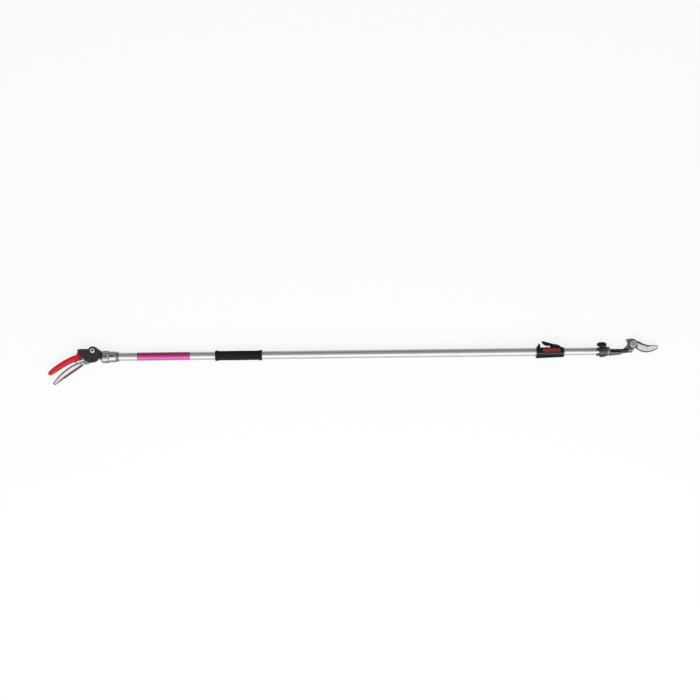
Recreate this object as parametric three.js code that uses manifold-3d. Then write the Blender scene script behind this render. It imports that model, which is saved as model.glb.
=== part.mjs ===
// A telescopic long-reach pruner that lies on its side with its handles and its blades closed.
// +X runs along the pole from the handles to the blades, +Y is the side of the fixed grip, and
// Z = 0 is the plane that the handle housing and the pole lock rest on. Sizes are in millimetres.
// Until the last lines the pole's axis is the X axis; the whole tool is then lifted by sideHalf.
import * as THREE from 'three';
import { mergeVertices } from 'three/addons/utils/BufferGeometryUtils.js';
import Module from 'manifold-3d';

const wasm = await Module();
wasm.setup();

// ---------------------------------------------------------------- driving dimensions
// Clearances
const seat = 0.3; // between pieces that are fixed to each other
const running = 0.3; // between pieces that turn or slide on each other
const through = 300; // how far a cutting body reaches, so that it runs right through its piece

// Pole
const outerTubeDiameter = 25;
const innerTubeDiameter = 22.8;
const tubeWall = 0.8;
const outerTubeLength = 1351;
const innerTubeSetBack = 82.9; // the inner tube's lower end from the outer one's when the pole is closed
const innerTubeShown = 99; // from the pole lock to the head clamp when the pole is closed
const labelStart = 106; // distances along the outer tube from its lower end
const labelLength = 163;
const labelThickness = 0.3;
const foamStart = 346;
const foamLength = 144.5;
const foamThickness = 1.9;
const foamFlare = 1.8; // how far the foam's end rings stand above its body

// Handle housing: a cast body between two moulded covers
const sideHalf = 18; // half the width of the housing and of the pole lock
const bodyHalf = 9.7;
const bodyWall = 2.6;
const webThickness = 2.4;
const coverWall = 2.2;
const rimLip = 1.8; // how far the cast rim shows outside the cover along its lower back edge
const housingBack = -37.5;
const housingTop = 25.8;
const housingLow = 5;
const housingStep = 24.5;
const noseLength = 5;
const hub = { x: 2.1, y: 20.8, r: 12.6 }; // round the lever's pivot
const hubRise = 1.4;
const drum = { x: -2, y: 11.5, r: 28.5 }; // the round that holds the wire reel
const blockEdge = -24; // the solid back of the body, which carries the fixed grip

// Handles. Each centre line is a curve through three points: the grip's are measured from the
// housing's back, and the lever's from its pivot.
const gripLine = [[6.5, 3.5], [-42.5, -8], [-98.5, -53]];
const leverLine = [[-27.1, -36.8], [-76.1, -57.8], [-121.1, -102.8]];
const gripWidth = 21;
const sleeveWall = 4.2;
const sleeveEnd = 0.975; // the share of the grip that its sleeve covers: the tang's end stands out
const leverWidth = 18;
const leverPlate = 4;
const leverRim = 4;
const dishDepth = 2.6; // of the hollow along each side of the lever
const padThickness = 1.5;

// Lever pivot, reel and cover screws
const boltRadius = 4;
const boltHeadRadius = 7.4;
const socketKey = 3.4; // the six-sided socket in its head, across the corners' radius
const socketDepth = 5;
const reelAxle = { x: -7, y: 1.5 };
const reelRadius = 10.5;
const reelWidth = 8;
const reelFlange = 1;
const coreRadius = 5;
const windingRadius = 8.9;
const axleRadius = 2;
const brakePivot = { x: -13, y: 18 };
const fairleadRadius = 3;
const screwRadius = 1.5;
const screwPlaces = [[-32.5, 20.6], [-31.5, 9.5], [24, 12.4]];

// Tube socket and collar
const socketRadius = 19.2;
const socketLength = 20;
const collarRadius = 16.5;
const collarLength = 22;
const endRingLength = 7;
const slotHeight = 4.6;

// Pole lock
const lockLength = 86.5;
const lockGrip = 17.3; // how much of the outer tube it holds
const lockTop = 14;
const lockBottom = -19.6;
const lockNose = 10.8; // the lock's solid far end
const saddleLow = -1;
const lockWall = 3.3;
const windowTop = 10.6;
const lockPivot = { fromEnd: 30, y: 19.5 };
const lockPinRadius = 2;
const thumbWidth = 18;
const hornHeight = 12.5;
const hornLength = 12.6; // from the lock's near end to the horn's upright face
const thumbGap = 5.9; // from that face to the thumb lever's tip
const lockSpringShare = 0.6; // where the lock's spring sits, as a share of the lever's reach

// Head clamp
const clampLength = 24;
const clampRadius = 16;
const clampFlat = 14.5; // the flat that the knob turns on
const knobRadius = 15;
const knobHeight = 13.5;
const studRadius = 3;
const ringRadius = 14;
const ringLength = 8;
const armLength = 56;

// Head
const bladePivotX = 73.7; // from the swivel ring's front face
const bladePivotY = 21;
const bladeThickness = 3;
const hookThickness = 3.9;
const headPlateThickness = 3.3;
const holderThickness = 1.2;
const tailRadius = 19.1; // from the blade's pivot to the pin that the wire pulls
const bladeOpening = 24.6; // degrees
const tailPinRadius = 1.6;
const wireShank = 11; // from the tail pin to the return spring's seat
const washerRadius = 10.5;
const pullWireRadius = 0.75;
const springRadius = 4.8;
const springWire = 1.5;
const springTurns = 19;

// ---------------------------------------------------------------- derived places
const outerRadius = outerTubeDiameter / 2;
const innerRadius = innerTubeDiameter / 2;
const webLow = bodyHalf - webThickness;
const coverLow = bodyHalf + seat;
const socketBack = housingStep + noseLength + 2.5;
const socketFront = socketBack + socketLength;
const outerTubeStart = socketBack + seat;
const outerTubeEnd = outerTubeStart + outerTubeLength;
const collarStart = socketFront + seat;
const collarEnd = collarStart + collarLength;
const lockBack = outerTubeEnd - lockGrip;
const lockFront = lockBack + lockLength;
const lockPivotX = lockFront - lockPivot.fromEnd;
const thumbReach = lockPivotX - lockBack - hornLength - thumbGap;
const lockSpringX = lockPivotX - lockSpringShare * thumbReach;
const saddleBack = outerTubeEnd + 1.4;
const saddleFront = lockFront - lockNose;
const clampBack = lockFront + innerTubeShown + 9;
const clampFront = clampBack + clampLength;
const innerTubeEnd = clampFront - 2.3;
const innerTubeStart = outerTubeStart + innerTubeSetBack;
const ringBack = clampFront + seat;
const ringFront = ringBack + ringLength;
const spigotRadius = innerRadius - tubeWall - seat;
const pivotX = ringFront + bladePivotX;
const pivotY = bladePivotY;
const halfOpening = THREE.MathUtils.degToRad(bladeOpening / 2);
const pinX = pivotX - tailRadius * Math.sin(halfOpening);
const pinY = pivotY - tailRadius * Math.cos(halfOpening);
const pinSag = tailRadius * (1 - Math.cos(halfOpening)); // how far the pin dips on its way
const wireY = pinY - pinSag / 2;
const bladeHalf = bladeThickness / 2;
const hookFront = -bladeHalf - running;
const hookBack = hookFront - hookThickness;
const headPlateFront = hookBack - seat;
const headPlateBack = headPlateFront - headPlateThickness;
const wireEndZ = bladeHalf + running + 1.25;

// ---------------------------------------------------------------- materials
const finish = (color, roughness, metalness) =>
  new THREE.MeshStandardMaterial({ color, roughness, metalness });
const castMetal = finish(0x9a9c9e, 0.45, 0.9);
const tubeMetal = finish(0xc8cacc, 0.35, 0.95);
const steel = finish(0xb8babd, 0.25, 1);
const darkSteel = finish(0x4b4d50, 0.4, 0.9);
const redVinyl = finish(0xc5212c, 0.45, 0);
const blackPlastic = finish(0x2a2c2b, 0.5, 0);
const blackFoam = finish(0x1d2529, 0.9, 0);
const redPlastic = finish(0x9a2830, 0.45, 0);
const magentaFilm = finish(0xc0307a, 0.5, 0);
const nylon = finish(0xe6e4dc, 0.6, 0);

// ---------------------------------------------------------------- solids
const radians = THREE.MathUtils.degToRad;
const curveSteps = 4; // straight steps to each fillet, and to each point of a spline
const arcStep = radians(12); // the turn in each straight step of an arc
const vec2 = (x, y) => new THREE.Vector2(x, y);
const vec3 = (x, y, z) => new THREE.Vector3(x, y, z);

function solid(geometry) {
  const bare = geometry.clone();
  bare.deleteAttribute('normal');
  bare.deleteAttribute('uv');
  const merged = mergeVertices(bare, 1e-4);
  return manifoldFrom(merged.attributes.position.array, merged.index.array);
}

function manifoldFrom(positions, faces) {
  return new wasm.Manifold(new wasm.Mesh({
    numProp: 3,
    vertProperties: new Float32Array(positions),
    triVerts: new Uint32Array(faces),
  }));
}

const join = (first, ...rest) => rest.reduce((sum, piece) => sum.add(piece), first);
const cut = (first, ...rest) => rest.reduce((sum, piece) => sum.subtract(piece), first);

// The corners of an outline, with its curves taken in straight steps.
function cornersOf(shape) {
  const steps = (curve) => {
    if (curve.isLineCurve) return 1;
    if (curve.isEllipseCurve) return Math.ceil(Math.abs(curve.aEndAngle - curve.aStartAngle) / arcStep);
    return curveSteps * (curve.isSplineCurve ? curve.points.length - 1 : 1);
  };
  const apart = (point, i, all) => point.distanceTo(all[(i + 1) % all.length]) > 0.01;
  return shape.curves.flatMap((curve) => curve.getPoints(steps(curve))).filter(apart);
}

// An outline extruded from z0 to z1.
function prism(shape, z0, z1) {
  const flat = new THREE.Shape(cornersOf(shape));
  const geometry = new THREE.ExtrudeGeometry(flat, { depth: z1 - z0, bevelEnabled: false });
  return solid(geometry.translate(0, 0, z0));
}

// The same with both faces' edges taken off by bevel, for outlines whose fillets are larger.
function softPrism(shape, z0, z1, bevel) {
  const outline = cornersOf(shape);
  if (THREE.ShapeUtils.isClockWise(outline)) outline.reverse();
  const count = outline.length;
  const inward = outline.map((point, i) => {
    const before = point.clone().sub(outline[(i + count - 1) % count]).normalize();
    const after = outline[(i + 1) % count].clone().sub(point).normalize();
    const across = vec2(-before.y - after.y, before.x + after.x).normalize();
    return across.divideScalar(Math.max(0.5, vec2(-after.y, after.x).dot(across)));
  });
  const layers = [[z0, bevel], [z0 + bevel, 0], [z1 - bevel, 0], [z1, bevel]];
  const positions = layers.flatMap(([z, inset]) =>
    outline.flatMap((point, i) => [point.x + inward[i].x * inset, point.y + inward[i].y * inset, z]));
  return manifoldFrom(positions, loftFaces(layers.length - 1, count, outline));
}

function box(x0, x1, y0, y1, z0, z1) {
  const geometry = new THREE.BoxGeometry(x1 - x0, y1 - y0, z1 - z0);
  return solid(geometry.translate((x0 + x1) / 2, (y0 + y1) / 2, (z0 + z1) / 2));
}

// A cylinder along Z, Y or X.
function discZ(x, y, r, z0, z1, sides = 20) {
  const geometry = new THREE.CylinderGeometry(r, r, z1 - z0, sides).rotateX(Math.PI / 2);
  return solid(geometry.translate(x, y, (z0 + z1) / 2));
}

function discY(x, z, r, y0, y1, sides = 20) {
  const geometry = new THREE.CylinderGeometry(r, r, y1 - y0, sides);
  return solid(geometry.translate(x, (y0 + y1) / 2, z));
}

function rodX(x0, x1, r, sides = 32) {
  const geometry = new THREE.CylinderGeometry(r, r, x1 - x0, sides).rotateZ(-Math.PI / 2);
  return solid(geometry.translate((x0 + x1) / 2, 0, 0));
}

// A body turned about the X axis from [x, radius] points that run toward +X. With a bore it is
// a ring, and without one it is solid.
function turnedX(profile, bore = 0, sides = 32) {
  const first = profile[0];
  const last = profile[profile.length - 1];
  const outline = [[first[0], bore], ...profile, [last[0], bore]];
  if (bore > 0) outline.push([first[0], bore]);
  const points = outline.map(([x, r]) => vec2(r, x));
  return solid(new THREE.LatheGeometry(points, sides).rotateZ(-Math.PI / 2));
}

// The same about a line along Z through (x, y), from [z, radius] points that run toward +Z.
function turnedZ(x, y, profile, bore = 0, sides = 24) {
  const first = profile[0];
  const last = profile[profile.length - 1];
  const outline = [[first[0], bore], ...profile, [last[0], bore]];
  if (bore > 0) outline.push([first[0], bore]);
  const points = outline.map(([z, r]) => vec2(r, z));
  return solid(new THREE.LatheGeometry(points, sides).rotateX(Math.PI / 2).translate(x, y, 0));
}

// A closed outline through corners [x, y, fillet]. A fillet takes at most half of a side.
function rounded(corners) {
  const shape = new THREE.Shape();
  const count = corners.length;
  corners.forEach(([x, y, fillet = 0], i) => {
    const corner = vec2(x, y);
    const before = vec2(...corners[(i + count - 1) % count]).sub(corner);
    const after = vec2(...corners[(i + 1) % count]).sub(corner);
    const reach = Math.min(fillet, before.length() * 0.49, after.length() * 0.49);
    const enter = corner.clone().addScaledVector(before.normalize(), reach);
    const leave = corner.clone().addScaledVector(after.normalize(), reach);
    if (i === 0) shape.moveTo(enter.x, enter.y);
    else shape.lineTo(enter.x, enter.y);
    if (fillet > 0) shape.quadraticCurveTo(x, y, leave.x, leave.y);
  });
  return shape;
}

// A smooth value through a list of values spaced evenly from t = 0 to t = 1.
function smoothThrough(values) {
  const curve = new THREE.SplineCurve(values.map((value, i) => vec2(i, value)));
  return (t) => curve.getPoint(t).y;
}

// A bar lofted along a curve in the XY plane. Its section is a superellipse of the height and
// width that the two functions give along the curve. It runs to the share `to` of the curve and
// `over` mm past it, and its last tenth draws in to `endScale` of its size.
function loftedBar(
  curve,
  heightAt,
  widthAt,
  { steps = 15, sides = 14, to = 1, endScale = 0.8, over = 0 } = {},
) {
  const positions = [];
  const outline = [];
  const squareness = 2 / 2.6;
  for (let k = 0; k < sides; k += 1) {
    const angle = (k / sides) * 2 * Math.PI;
    outline.push(vec2(Math.cos(angle), Math.sin(angle)));
  }
  for (let i = 0; i <= steps; i += 1) {
    const run = i / steps;
    const t = to * run;
    const along = curve.getTangentAt(t);
    const centre = curve.getPointAt(t).addScaledVector(along, i === steps ? over : 0);
    const endStart = 0.9;
    const past = Math.max(0, (run - endStart) / (1 - endStart));
    const taper = 1 - (1 - endScale) * past * past;
    outline.forEach(({ x: c, y: s }) => {
      const up = Math.sign(c) * Math.abs(c) ** squareness * heightAt(t) * taper / 2;
      const out = Math.sign(s) * Math.abs(s) ** squareness * widthAt(t) * taper / 2;
      positions.push(centre.x - along.y * up, centre.y + along.x * up, out);
    });
  }
  return manifoldFrom(positions, loftFaces(steps, sides, outline));
}

// The faces that join rings of points, the same number in each, into one closed body. The end
// faces are cut into triangles as the flat outline is.
function loftFaces(steps, sides, outline) {
  const faces = [];
  for (let i = 0; i < steps; i += 1) {
    for (let k = 0; k < sides; k += 1) {
      const a = i * sides + k;
      const b = i * sides + ((k + 1) % sides);
      faces.push(a, b, a + sides, b, b + sides, a + sides);
    }
  }
  const end = steps * sides;
  THREE.ShapeUtils.triangulateShape(outline, []).forEach(([a, b, c]) => {
    faces.push(a, c, b, end + a, end + b, end + c);
  });
  return faces;
}

// A flat ribbon outline that follows a curve between two offsets from it, and runs `over` mm on.
function ribbon(curve, lowAt, highAt, from, to, over = 0, steps = 12) {
  const low = [];
  const high = [];
  for (let i = 0; i <= steps; i += 1) {
    const t = from + (to - from) * (i / steps);
    const along = curve.getTangentAt(t);
    const centre = curve.getPointAt(t).addScaledVector(along, i === steps ? over : 0);
    const side = vec2(-along.y, along.x);
    low.push(centre.clone().addScaledVector(side, lowAt(t)));
    high.unshift(centre.clone().addScaledVector(side, highAt(t)));
  }
  return new THREE.Shape([...low, ...high]);
}

// A round wire that runs straight from each point to the next.
function wireThrough(points, radius, sides = 8) {
  const outline = [];
  for (let k = 0; k < sides; k += 1) {
    const angle = (k / sides) * 2 * Math.PI;
    outline.push(vec2(Math.cos(angle), Math.sin(angle)));
  }
  const last = points.length - 1;
  const side = vec3(0, 0, 1);
  const positions = points.flatMap((point, i) => {
    const along = points[Math.min(i + 1, last)].clone().sub(points[Math.max(i - 1, 0)]).normalize();
    side.addScaledVector(along, -side.dot(along)).normalize();
    const up = side.clone().cross(along);
    return outline.flatMap(({ x, y }) =>
      point.clone().addScaledVector(up, x * radius).addScaledVector(side, y * radius).toArray());
  });
  return manifoldFrom(positions, loftFaces(last, sides, outline));
}

const group = new THREE.Group();

function add(name, body, material) {
  const { vertProperties, triVerts } = body.getMesh();
  const geometry = new THREE.BufferGeometry();
  geometry.setAttribute('position', new THREE.BufferAttribute(vertProperties, 3));
  geometry.setIndex(new THREE.BufferAttribute(triVerts, 1));
  geometry.computeVertexNormals();
  const mesh = new THREE.Mesh(geometry, material);
  mesh.name = name;
  group.add(mesh);
}

// ---------------------------------------------------------------- pole
function tube(start, end, radius) {
  return turnedX([[start, radius], [end, radius]], radius - tubeWall);
}

function labelBand() {
  const start = outerTubeStart + labelStart;
  const bore = outerRadius + 0.1;
  return turnedX([[start, bore + labelThickness], [start + labelLength, bore + labelThickness]], bore);
}

// The foam grip has a domed ring at its lower end and a flared, cupped one at its upper end.
function foamGrip() {
  const start = outerTubeStart + foamStart;
  const end = start + foamLength;
  const bore = outerRadius + 0.1;
  const body = bore + foamThickness;
  const flare = body + foamFlare;
  const profile = [
    [start, body - 0.8], [start + 1.2, flare - 0.5], [start + 4, flare], [start + 8, flare - 0.3],
    [start + 12, body], [end - 13, body], [end - 8, flare - 0.3], [end - 4, flare],
    [end - 0.8, flare - 0.2], [end, flare - 1],
  ];
  const cup = turnedX([[end - 3, bore], [end + 0.1, flare - 1.6]], 0);
  return cut(turnedX(profile, bore), cup);
}

// A nylon plug that centres the inner tube's lower end in the outer tube.
function innerPlug() {
  const back = innerTubeStart - 9;
  const front = innerTubeStart + 12;
  const shoulder = innerTubeStart - seat;
  return turnedX([
    [back, innerRadius - 0.8], [back + 1, innerRadius], [shoulder, innerRadius],
    [shoulder, spigotRadius], [front, spigotRadius],
  ], 2.5);
}

// ---------------------------------------------------------------- handle housing
// The housing's side outline, moved inward by inset. The lip widens its lower back edge.
function housingShape(inset = 0, lip = 0) {
  const back = housingBack + inset;
  const top = housingTop - inset;
  const step = housingStep - inset;
  const nose = housingStep + noseLength - inset;
  const corner = 3;
  const shape = new THREE.Shape();
  shape.moveTo(back + corner, top);
  shape.quadraticCurveTo(back, top, back, top - corner);
  shape.lineTo(back, housingLow + inset * 0.6 - lip);
  shape.absarc(drum.x, drum.y, drum.r - inset + lip, radians(225), radians(270));
  shape.absarc(drum.x, drum.y, drum.r - inset, radians(270), radians(330));
  shape.lineTo(step, 0);
  shape.lineTo(step, 8 + inset);
  shape.lineTo(nose, 10 + inset);
  shape.lineTo(nose, 16.6 - inset * 0.8);
  const hubRadius = hub.r - inset;
  shape.absarc(hub.x, hub.y, hubRadius, radians(54), Math.PI - Math.asin((top - hub.y) / hubRadius));
  shape.closePath();
  return shape;
}

// The cast body: a ring wall with a web at its front, a solid back that carries the grip's
// tang, an opening below for the lever and the reel to swing through, and the tube's socket.
function handleBody() {
  const ring = prism(housingShape(), -bodyHalf, webLow + 0.5);
  const web = prism(housingShape(0, rimLip), webLow, bodyHalf);
  const chamber = prism(housingShape(bodyWall), -bodyHalf - 1, webLow);
  const back = box(housingBack - 1, blockEdge, -40, housingTop, -bodyHalf - 1, webLow);
  const exit = prism(
    rounded([[blockEdge, 0], [blockEdge, -through], [15.5, -through], [15.5, -6]]),
    -bodyHalf - 1,
    webLow,
  );
  const tang = loftedBar(gripCurve, (t) => gripHeight(t) - 2 * sleeveWall, () => gripWidth - 2 * sleeveWall, {
    steps: 10, sides: 10, endScale: 0.7,
  });
  const holes = screwPlaces.map(([x, y]) => discZ(x, y, screwRadius + seat, -through, through, 12));
  return cut(
    join(ring, web, tang, tubeSocket()),
    cut(chamber, back),
    exit,
    rodX(socketBack, socketFront + 1, outerRadius + seat),
    rodX(housingStep - 9, socketBack + 1, fairleadRadius + seat, 20),
    discZ(hub.x, hub.y, boltRadius + seat, 0, through),
    ...holes,
  );
}

// The round socket that takes the outer tube, with a coned back, flats on both sides and a
// blind slot along the front one.
function tubeSocket() {
  const back = housingStep - 1.5;
  const cone = turnedX([
    [back, 7], [housingStep + 0.3, 9], [socketBack, socketRadius - 0.7], [socketBack + 1.5, socketRadius],
    [socketFront - 1, socketRadius], [socketFront, socketRadius - 1],
  ]);
  const covers = cut(
    prism(housingShape(-seat), -through, through),
    box(-through, through, -through, through, -bodyHalf, bodyHalf),
  );
  const flats = [
    box(0, through, -through, through, sideHalf, through),
    box(0, through, -through, through, -through, -sideHalf),
  ];
  const slot = roundedSlot(socketBack - 1, socketFront - 4, sideHalf - 2.5);
  return cut(cone, covers, ...flats, slot);
}

// A slot with round ends along the pole's side, from the depth outward.
function roundedSlot(x0, x1, depth) {
  const middle = 2.6;
  const half = slotHeight / 2;
  const corners = [[x0, middle - half, half], [x1, middle - half, half], [x1, middle + half, half],
    [x0, middle + half, half]];
  return prism(rounded(corners), depth, through);
}

// One moulded cover. side is 1 for the front and -1 for the back.
function housingCover(side) {
  const raised = side > 0 ? hubRise : 0;
  const shell = cut(
    softPrism(housingShape(), coverLow - 2, sideHalf, 1.2),
    box(-through, through, -through, through, 0, coverLow),
  );
  const pocket = prism(housingShape(coverWall), coverLow - 1, sideHalf - coverWall);
  const bosses = screwPlaces.map(([x, y]) => discZ(x, y, screwRadius + 2.2, coverLow, sideHalf - 1, 14));
  const hubBoss = discZ(hub.x, hub.y, hub.r - 3, coverLow, sideHalf - 1);
  let cover = join(cut(shell, pocket), hubBoss);
  for (const boss of bosses) cover = cover.add(boss.intersect(prism(housingShape(0.6), 0, sideHalf)));
  if (raised > 0) {
    const ring = [[sideHalf - 1, hub.r - 0.6], [sideHalf + raised - 0.6, hub.r - 1.2],
      [sideHalf + raised, hub.r - 2]];
    cover = cover.add(turnedZ(hub.x, hub.y, ring));
  }
  const outside = sideHalf + raised + 1;
  const headSeat = side > 0 ? sideHalf - 1.2 : sideHalf - 5.2;
  cover = cut(
    cover,
    discZ(hub.x, hub.y, boltRadius + seat, 0, outside),
    discZ(hub.x, hub.y, boltHeadRadius + seat, headSeat, outside),
  );
  const depth = side > 0 ? sideHalf - 3 : outside;
  const holes = screwPlaces.map(([x, y]) => discZ(x, y, screwRadius + seat, 0, depth, 12));
  cover = cut(cover, ...holes);
  if (side > 0) return cover;
  const counterbores = screwPlaces.map(([x, y]) => discZ(x, y, 3 + seat, sideHalf - 2.6, outside, 14));
  return cut(cover, ...counterbores).mirror([0, 0, 1]);
}

// The lever's pivot bolt, with a domed head and a six-sided socket.
function pivotBolt() {
  const seatZ = sideHalf - 1.2 + seat;
  const top = sideHalf + hubRise + 0.2;
  const nutEnd = -sideHalf + 0.6;
  const bolt = turnedZ(hub.x, hub.y, [
    [nutEnd, boltRadius - 0.5], [nutEnd + 0.5, boltRadius], [seatZ, boltRadius], [seatZ, boltHeadRadius],
    [top - 0.7, boltHeadRadius], [top, boltHeadRadius - 1.2],
  ]);
  return cut(bolt, discZ(hub.x, hub.y, socketKey, top - socketDepth, top + 1, 6));
}

function nut(x, y, z0, z1, acrossRadius, bore) {
  return cut(discZ(x, y, acrossRadius, z0, z1, 6), discZ(x, y, bore, z0 - 1, z1 + 1, 24));
}

// A cover screw comes in from the back, through the body, into a boss of the front cover.
function coverScrew([x, y]) {
  const head = -sideHalf + 0.4;
  return turnedZ(x, y, [
    [head, 2.4], [head + 0.4, 3], [head + 1.9, 3], [head + 1.9, screwRadius], [sideHalf - 3.4, screwRadius],
  ], 0, 12);
}

// A nylon bush that leads the wire from the reel into the tube, with a flared mouth.
function fairlead() {
  const back = housingStep - 5;
  const front = socketBack - seat;
  const bush = turnedX([[back, 2.4], [back + 0.6, fairleadRadius], [front, fairleadRadius]], 1.5, 20);
  return cut(bush, turnedX([[back - 0.5, 2.4], [back + 3, 1.2]], 0, 20));
}

// The clamping collar that closes on the tube in front of the socket.
function tubeCollar() {
  const ring = turnedX([
    [collarStart, collarRadius - 0.8], [collarStart + 0.8, collarRadius],
    [collarEnd - 1.4, collarRadius], [collarEnd, collarRadius - 1.2],
  ], outerRadius + seat);
  const slit = roundedSlot(collarStart + 2, collarEnd - 4.5, 0);
  return cut(ring, slit);
}

// The dark ring at the collar's end: waisted, with a lip that flares toward the tube.
function collarRing() {
  const start = collarEnd + seat;
  const end = start + endRingLength;
  return turnedX([
    [start, collarRadius - 1.4], [start + 1.6, collarRadius - 2.4], [start + 4, collarRadius - 2.2],
    [end - 1, collarRadius - 0.6], [end, collarRadius - 1.2],
  ], outerRadius + seat);
}

// ---------------------------------------------------------------- handles
const gripCurve = new THREE.QuadraticBezierCurve(...gripLine.map(([x, y]) => vec2(housingBack + x, y)));
const gripHeight = smoothThrough([19.6, 19.6, 18.8, 18, 15]);
const gripBreadth = smoothThrough([gripWidth + 1, gripWidth, gripWidth, gripWidth - 1, gripWidth - 5]);

// The vinyl sleeve of the fixed grip: a curved bar with a flared root block and a finger stop.
function gripSleeve() {
  const face = housingBack - seat;
  const bar = loftedBar(gripCurve, gripHeight, gripBreadth, { to: sleeveEnd });
  const root = softPrism(
    rounded([
      [face, housingTop - 0.5, 2], [face, 1.6, 2], [-30.5, -5.2, 2], [-31, -9, 2], [-38, -10, 3],
      [-50, -13.5, 4], [-58, 2, 4], [-49.5, 7, 4], [-45.6, 14, 4], [-44.4, housingTop - 0.5, 2],
    ]),
    -gripWidth / 2 - 1.5,
    gripWidth / 2 + 1.5,
    1.2,
  );
  const stop = discZ(-52.6, -12.5, 4.6, -gripWidth / 2 + 3, gripWidth / 2 - 3, 20);
  const tangRoom = loftedBar(
    gripCurve,
    (t) => gripHeight(t) - 2 * (sleeveWall - seat),
    () => gripWidth - 2 * (sleeveWall - seat),
    { steps: 10, sides: 10, to: sleeveEnd, endScale: 1, over: 1 },
  );
  const rim = prism(housingShape(-seat, rimLip), -through, through);
  return cut(join(bar, root, stop), tangRoom, rim);
}

const leverCurve = new THREE.QuadraticBezierCurve(...leverLine.map(([x, y]) => vec2(hub.x + x, hub.y + y)));
const leverHeight = smoothThrough([11.5, 18.6, 19.6, 17, 12]);
const leverBreadth = smoothThrough([leverWidth - 4, leverWidth, leverWidth, leverWidth - 1, leverWidth - 5]);

// The moving lever: a forged handle with a dished face between two rims, which runs into a
// plate that hangs on the pivot bolt and carries the reel.
function triggerLever() {
  const plateBack = -bodyHalf + running;
  const plateFront = plateBack + leverPlate;
  const handle = loftedBar(leverCurve, leverHeight, leverBreadth);
  const rimOffset = (t) => leverHeight(t) / 2 - leverRim;
  const dish = ribbon(leverCurve, (t) => -rimOffset(t), rimOffset, 0.1, 1, 1);
  const depth = leverWidth / 2 - dishDepth;
  const plate = prism(
    rounded([
      [hub.x, hub.y + 2, 0], [hub.x + 7.4, hub.y, 0], [hub.x + 7.4, hub.y - 7, 5], [5, -6, 6],
      [-11, -22.5, 8], [-30, -22.3, 4], [-34, -13.5, 3], [-24, -8.5, 4], [-17.5, 3, 6],
      [brakePivot.x - 3.6, brakePivot.y + 3, 3],
    ]),
    plateBack,
    plateFront,
  );
  const boss = discZ(hub.x, hub.y, 7.4, plateBack, webLow - running);
  return cut(
    join(handle, plate, boss),
    prism(dish, depth, through),
    prism(dish, -through, -depth),
    discZ(hub.x, hub.y, boltRadius + running, -through, through),
    discZ(reelAxle.x, reelAxle.y, axleRadius + seat, -through, through, 20),
    discZ(brakePivot.x, brakePivot.y, screwRadius + seat, -through, through, 16),
  );
}

// The vinyl pad wraps the lever's outer rim where the fingers pull.
function fingerPad() {
  const from = 0.06;
  const to = 0.68;
  const grown = (extra) => loftedBar(
    leverCurve,
    (t) => leverHeight(t) + 2 * extra,
    (t) => leverBreadth(t) + 2 * extra,
  );
  const outer = (t) => leverHeight(t) / 2 + padThickness + 2;
  const inner = (t) => leverHeight(t) / 2 - 3.4;
  const strip = prism(ribbon(leverCurve, inner, outer, from, to), -through, through);
  const pad = grown(padThickness).intersect(strip);
  return cut(pad, grown(seat));
}

// ---------------------------------------------------------------- reel
const reelBack = -bodyHalf + running + leverPlate + running;
const reelFront = reelBack + reelWidth;
const windingZ = (reelBack + reelFront) / 2;

function wireReel() {
  return turnedZ(reelAxle.x, reelAxle.y, [
    [reelBack, reelRadius], [reelBack + reelFlange, reelRadius], [reelBack + reelFlange, coreRadius],
    [reelFront - reelFlange, coreRadius], [reelFront - reelFlange, reelRadius], [reelFront, reelRadius],
  ], axleRadius + running, 28);
}

function wireWinding() {
  const low = reelBack + reelFlange + seat;
  const high = reelFront - reelFlange - seat;
  return turnedZ(reelAxle.x, reelAxle.y, [
    [low, windingRadius - 0.5], [low + 0.5, windingRadius], [high - 0.5, windingRadius],
    [high, windingRadius - 0.5],
  ], coreRadius + seat, 28);
}

function reelPin() {
  const back = -bodyHalf + running;
  const head = webLow - running;
  return turnedZ(reelAxle.x, reelAxle.y, [
    [back, axleRadius], [head - 1, axleRadius], [head - 1, 3.4], [head, 3.4],
  ], 0, 20);
}

// The flat spiral spring that winds the wire in, between the reel and its pin's head.
function takeUpSpring() {
  const strip = 0.5;
  const inner = axleRadius + 0.6;
  const outer = reelRadius - 1.2;
  const turns = 4;
  const steps = 48;
  const point = (t, offset) => {
    const angle = t * turns * 2 * Math.PI;
    const r = inner + (outer - inner) * t + offset;
    return vec2(reelAxle.x + r * Math.cos(angle), reelAxle.y + r * Math.sin(angle));
  };
  const ins = [];
  const outs = [];
  for (let i = 0; i <= steps; i += 1) {
    ins.push(point(i / steps, 0));
    outs.unshift(point(i / steps, strip));
  }
  return prism(new THREE.Shape([...ins, ...outs]), reelFront + running, webLow - running - 1 - seat);
}

// A shoe on the lever that holds the reel still while the lever is squeezed.
function reelBrake() {
  const span = Math.hypot(brakePivot.x - reelAxle.x, brakePivot.y - reelAxle.y);
  const reach = span - reelRadius - running;
  const shoe = rounded([[-3.2, 3, 2.4], [3.2, 3, 2.4], [3, -reach * 0.9, 1.4], [-2.6, -reach * 0.9, 1.4]]);
  const turn = Math.atan2(reelAxle.y - brakePivot.y, reelAxle.x - brakePivot.x) + Math.PI / 2;
  const body = prism(shoe, reelBack, reelFront).rotate([0, 0, THREE.MathUtils.radToDeg(turn)]);
  return cut(
    body.translate([brakePivot.x, brakePivot.y, 0]),
    discZ(brakePivot.x, brakePivot.y, screwRadius + running, -through, through, 16),
  );
}

function brakePin() {
  const back = -bodyHalf + running;
  return turnedZ(brakePivot.x, brakePivot.y, [
    [back, screwRadius], [reelFront + seat, screwRadius], [reelFront + seat, 2.6], [reelFront + 1.3, 2.2],
  ], 0, 16);
}

// ---------------------------------------------------------------- pole lock
// Half the width between the housing's side walls.
const lockInside = sideHalf - lockWall;
const springPocket = 4;

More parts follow.
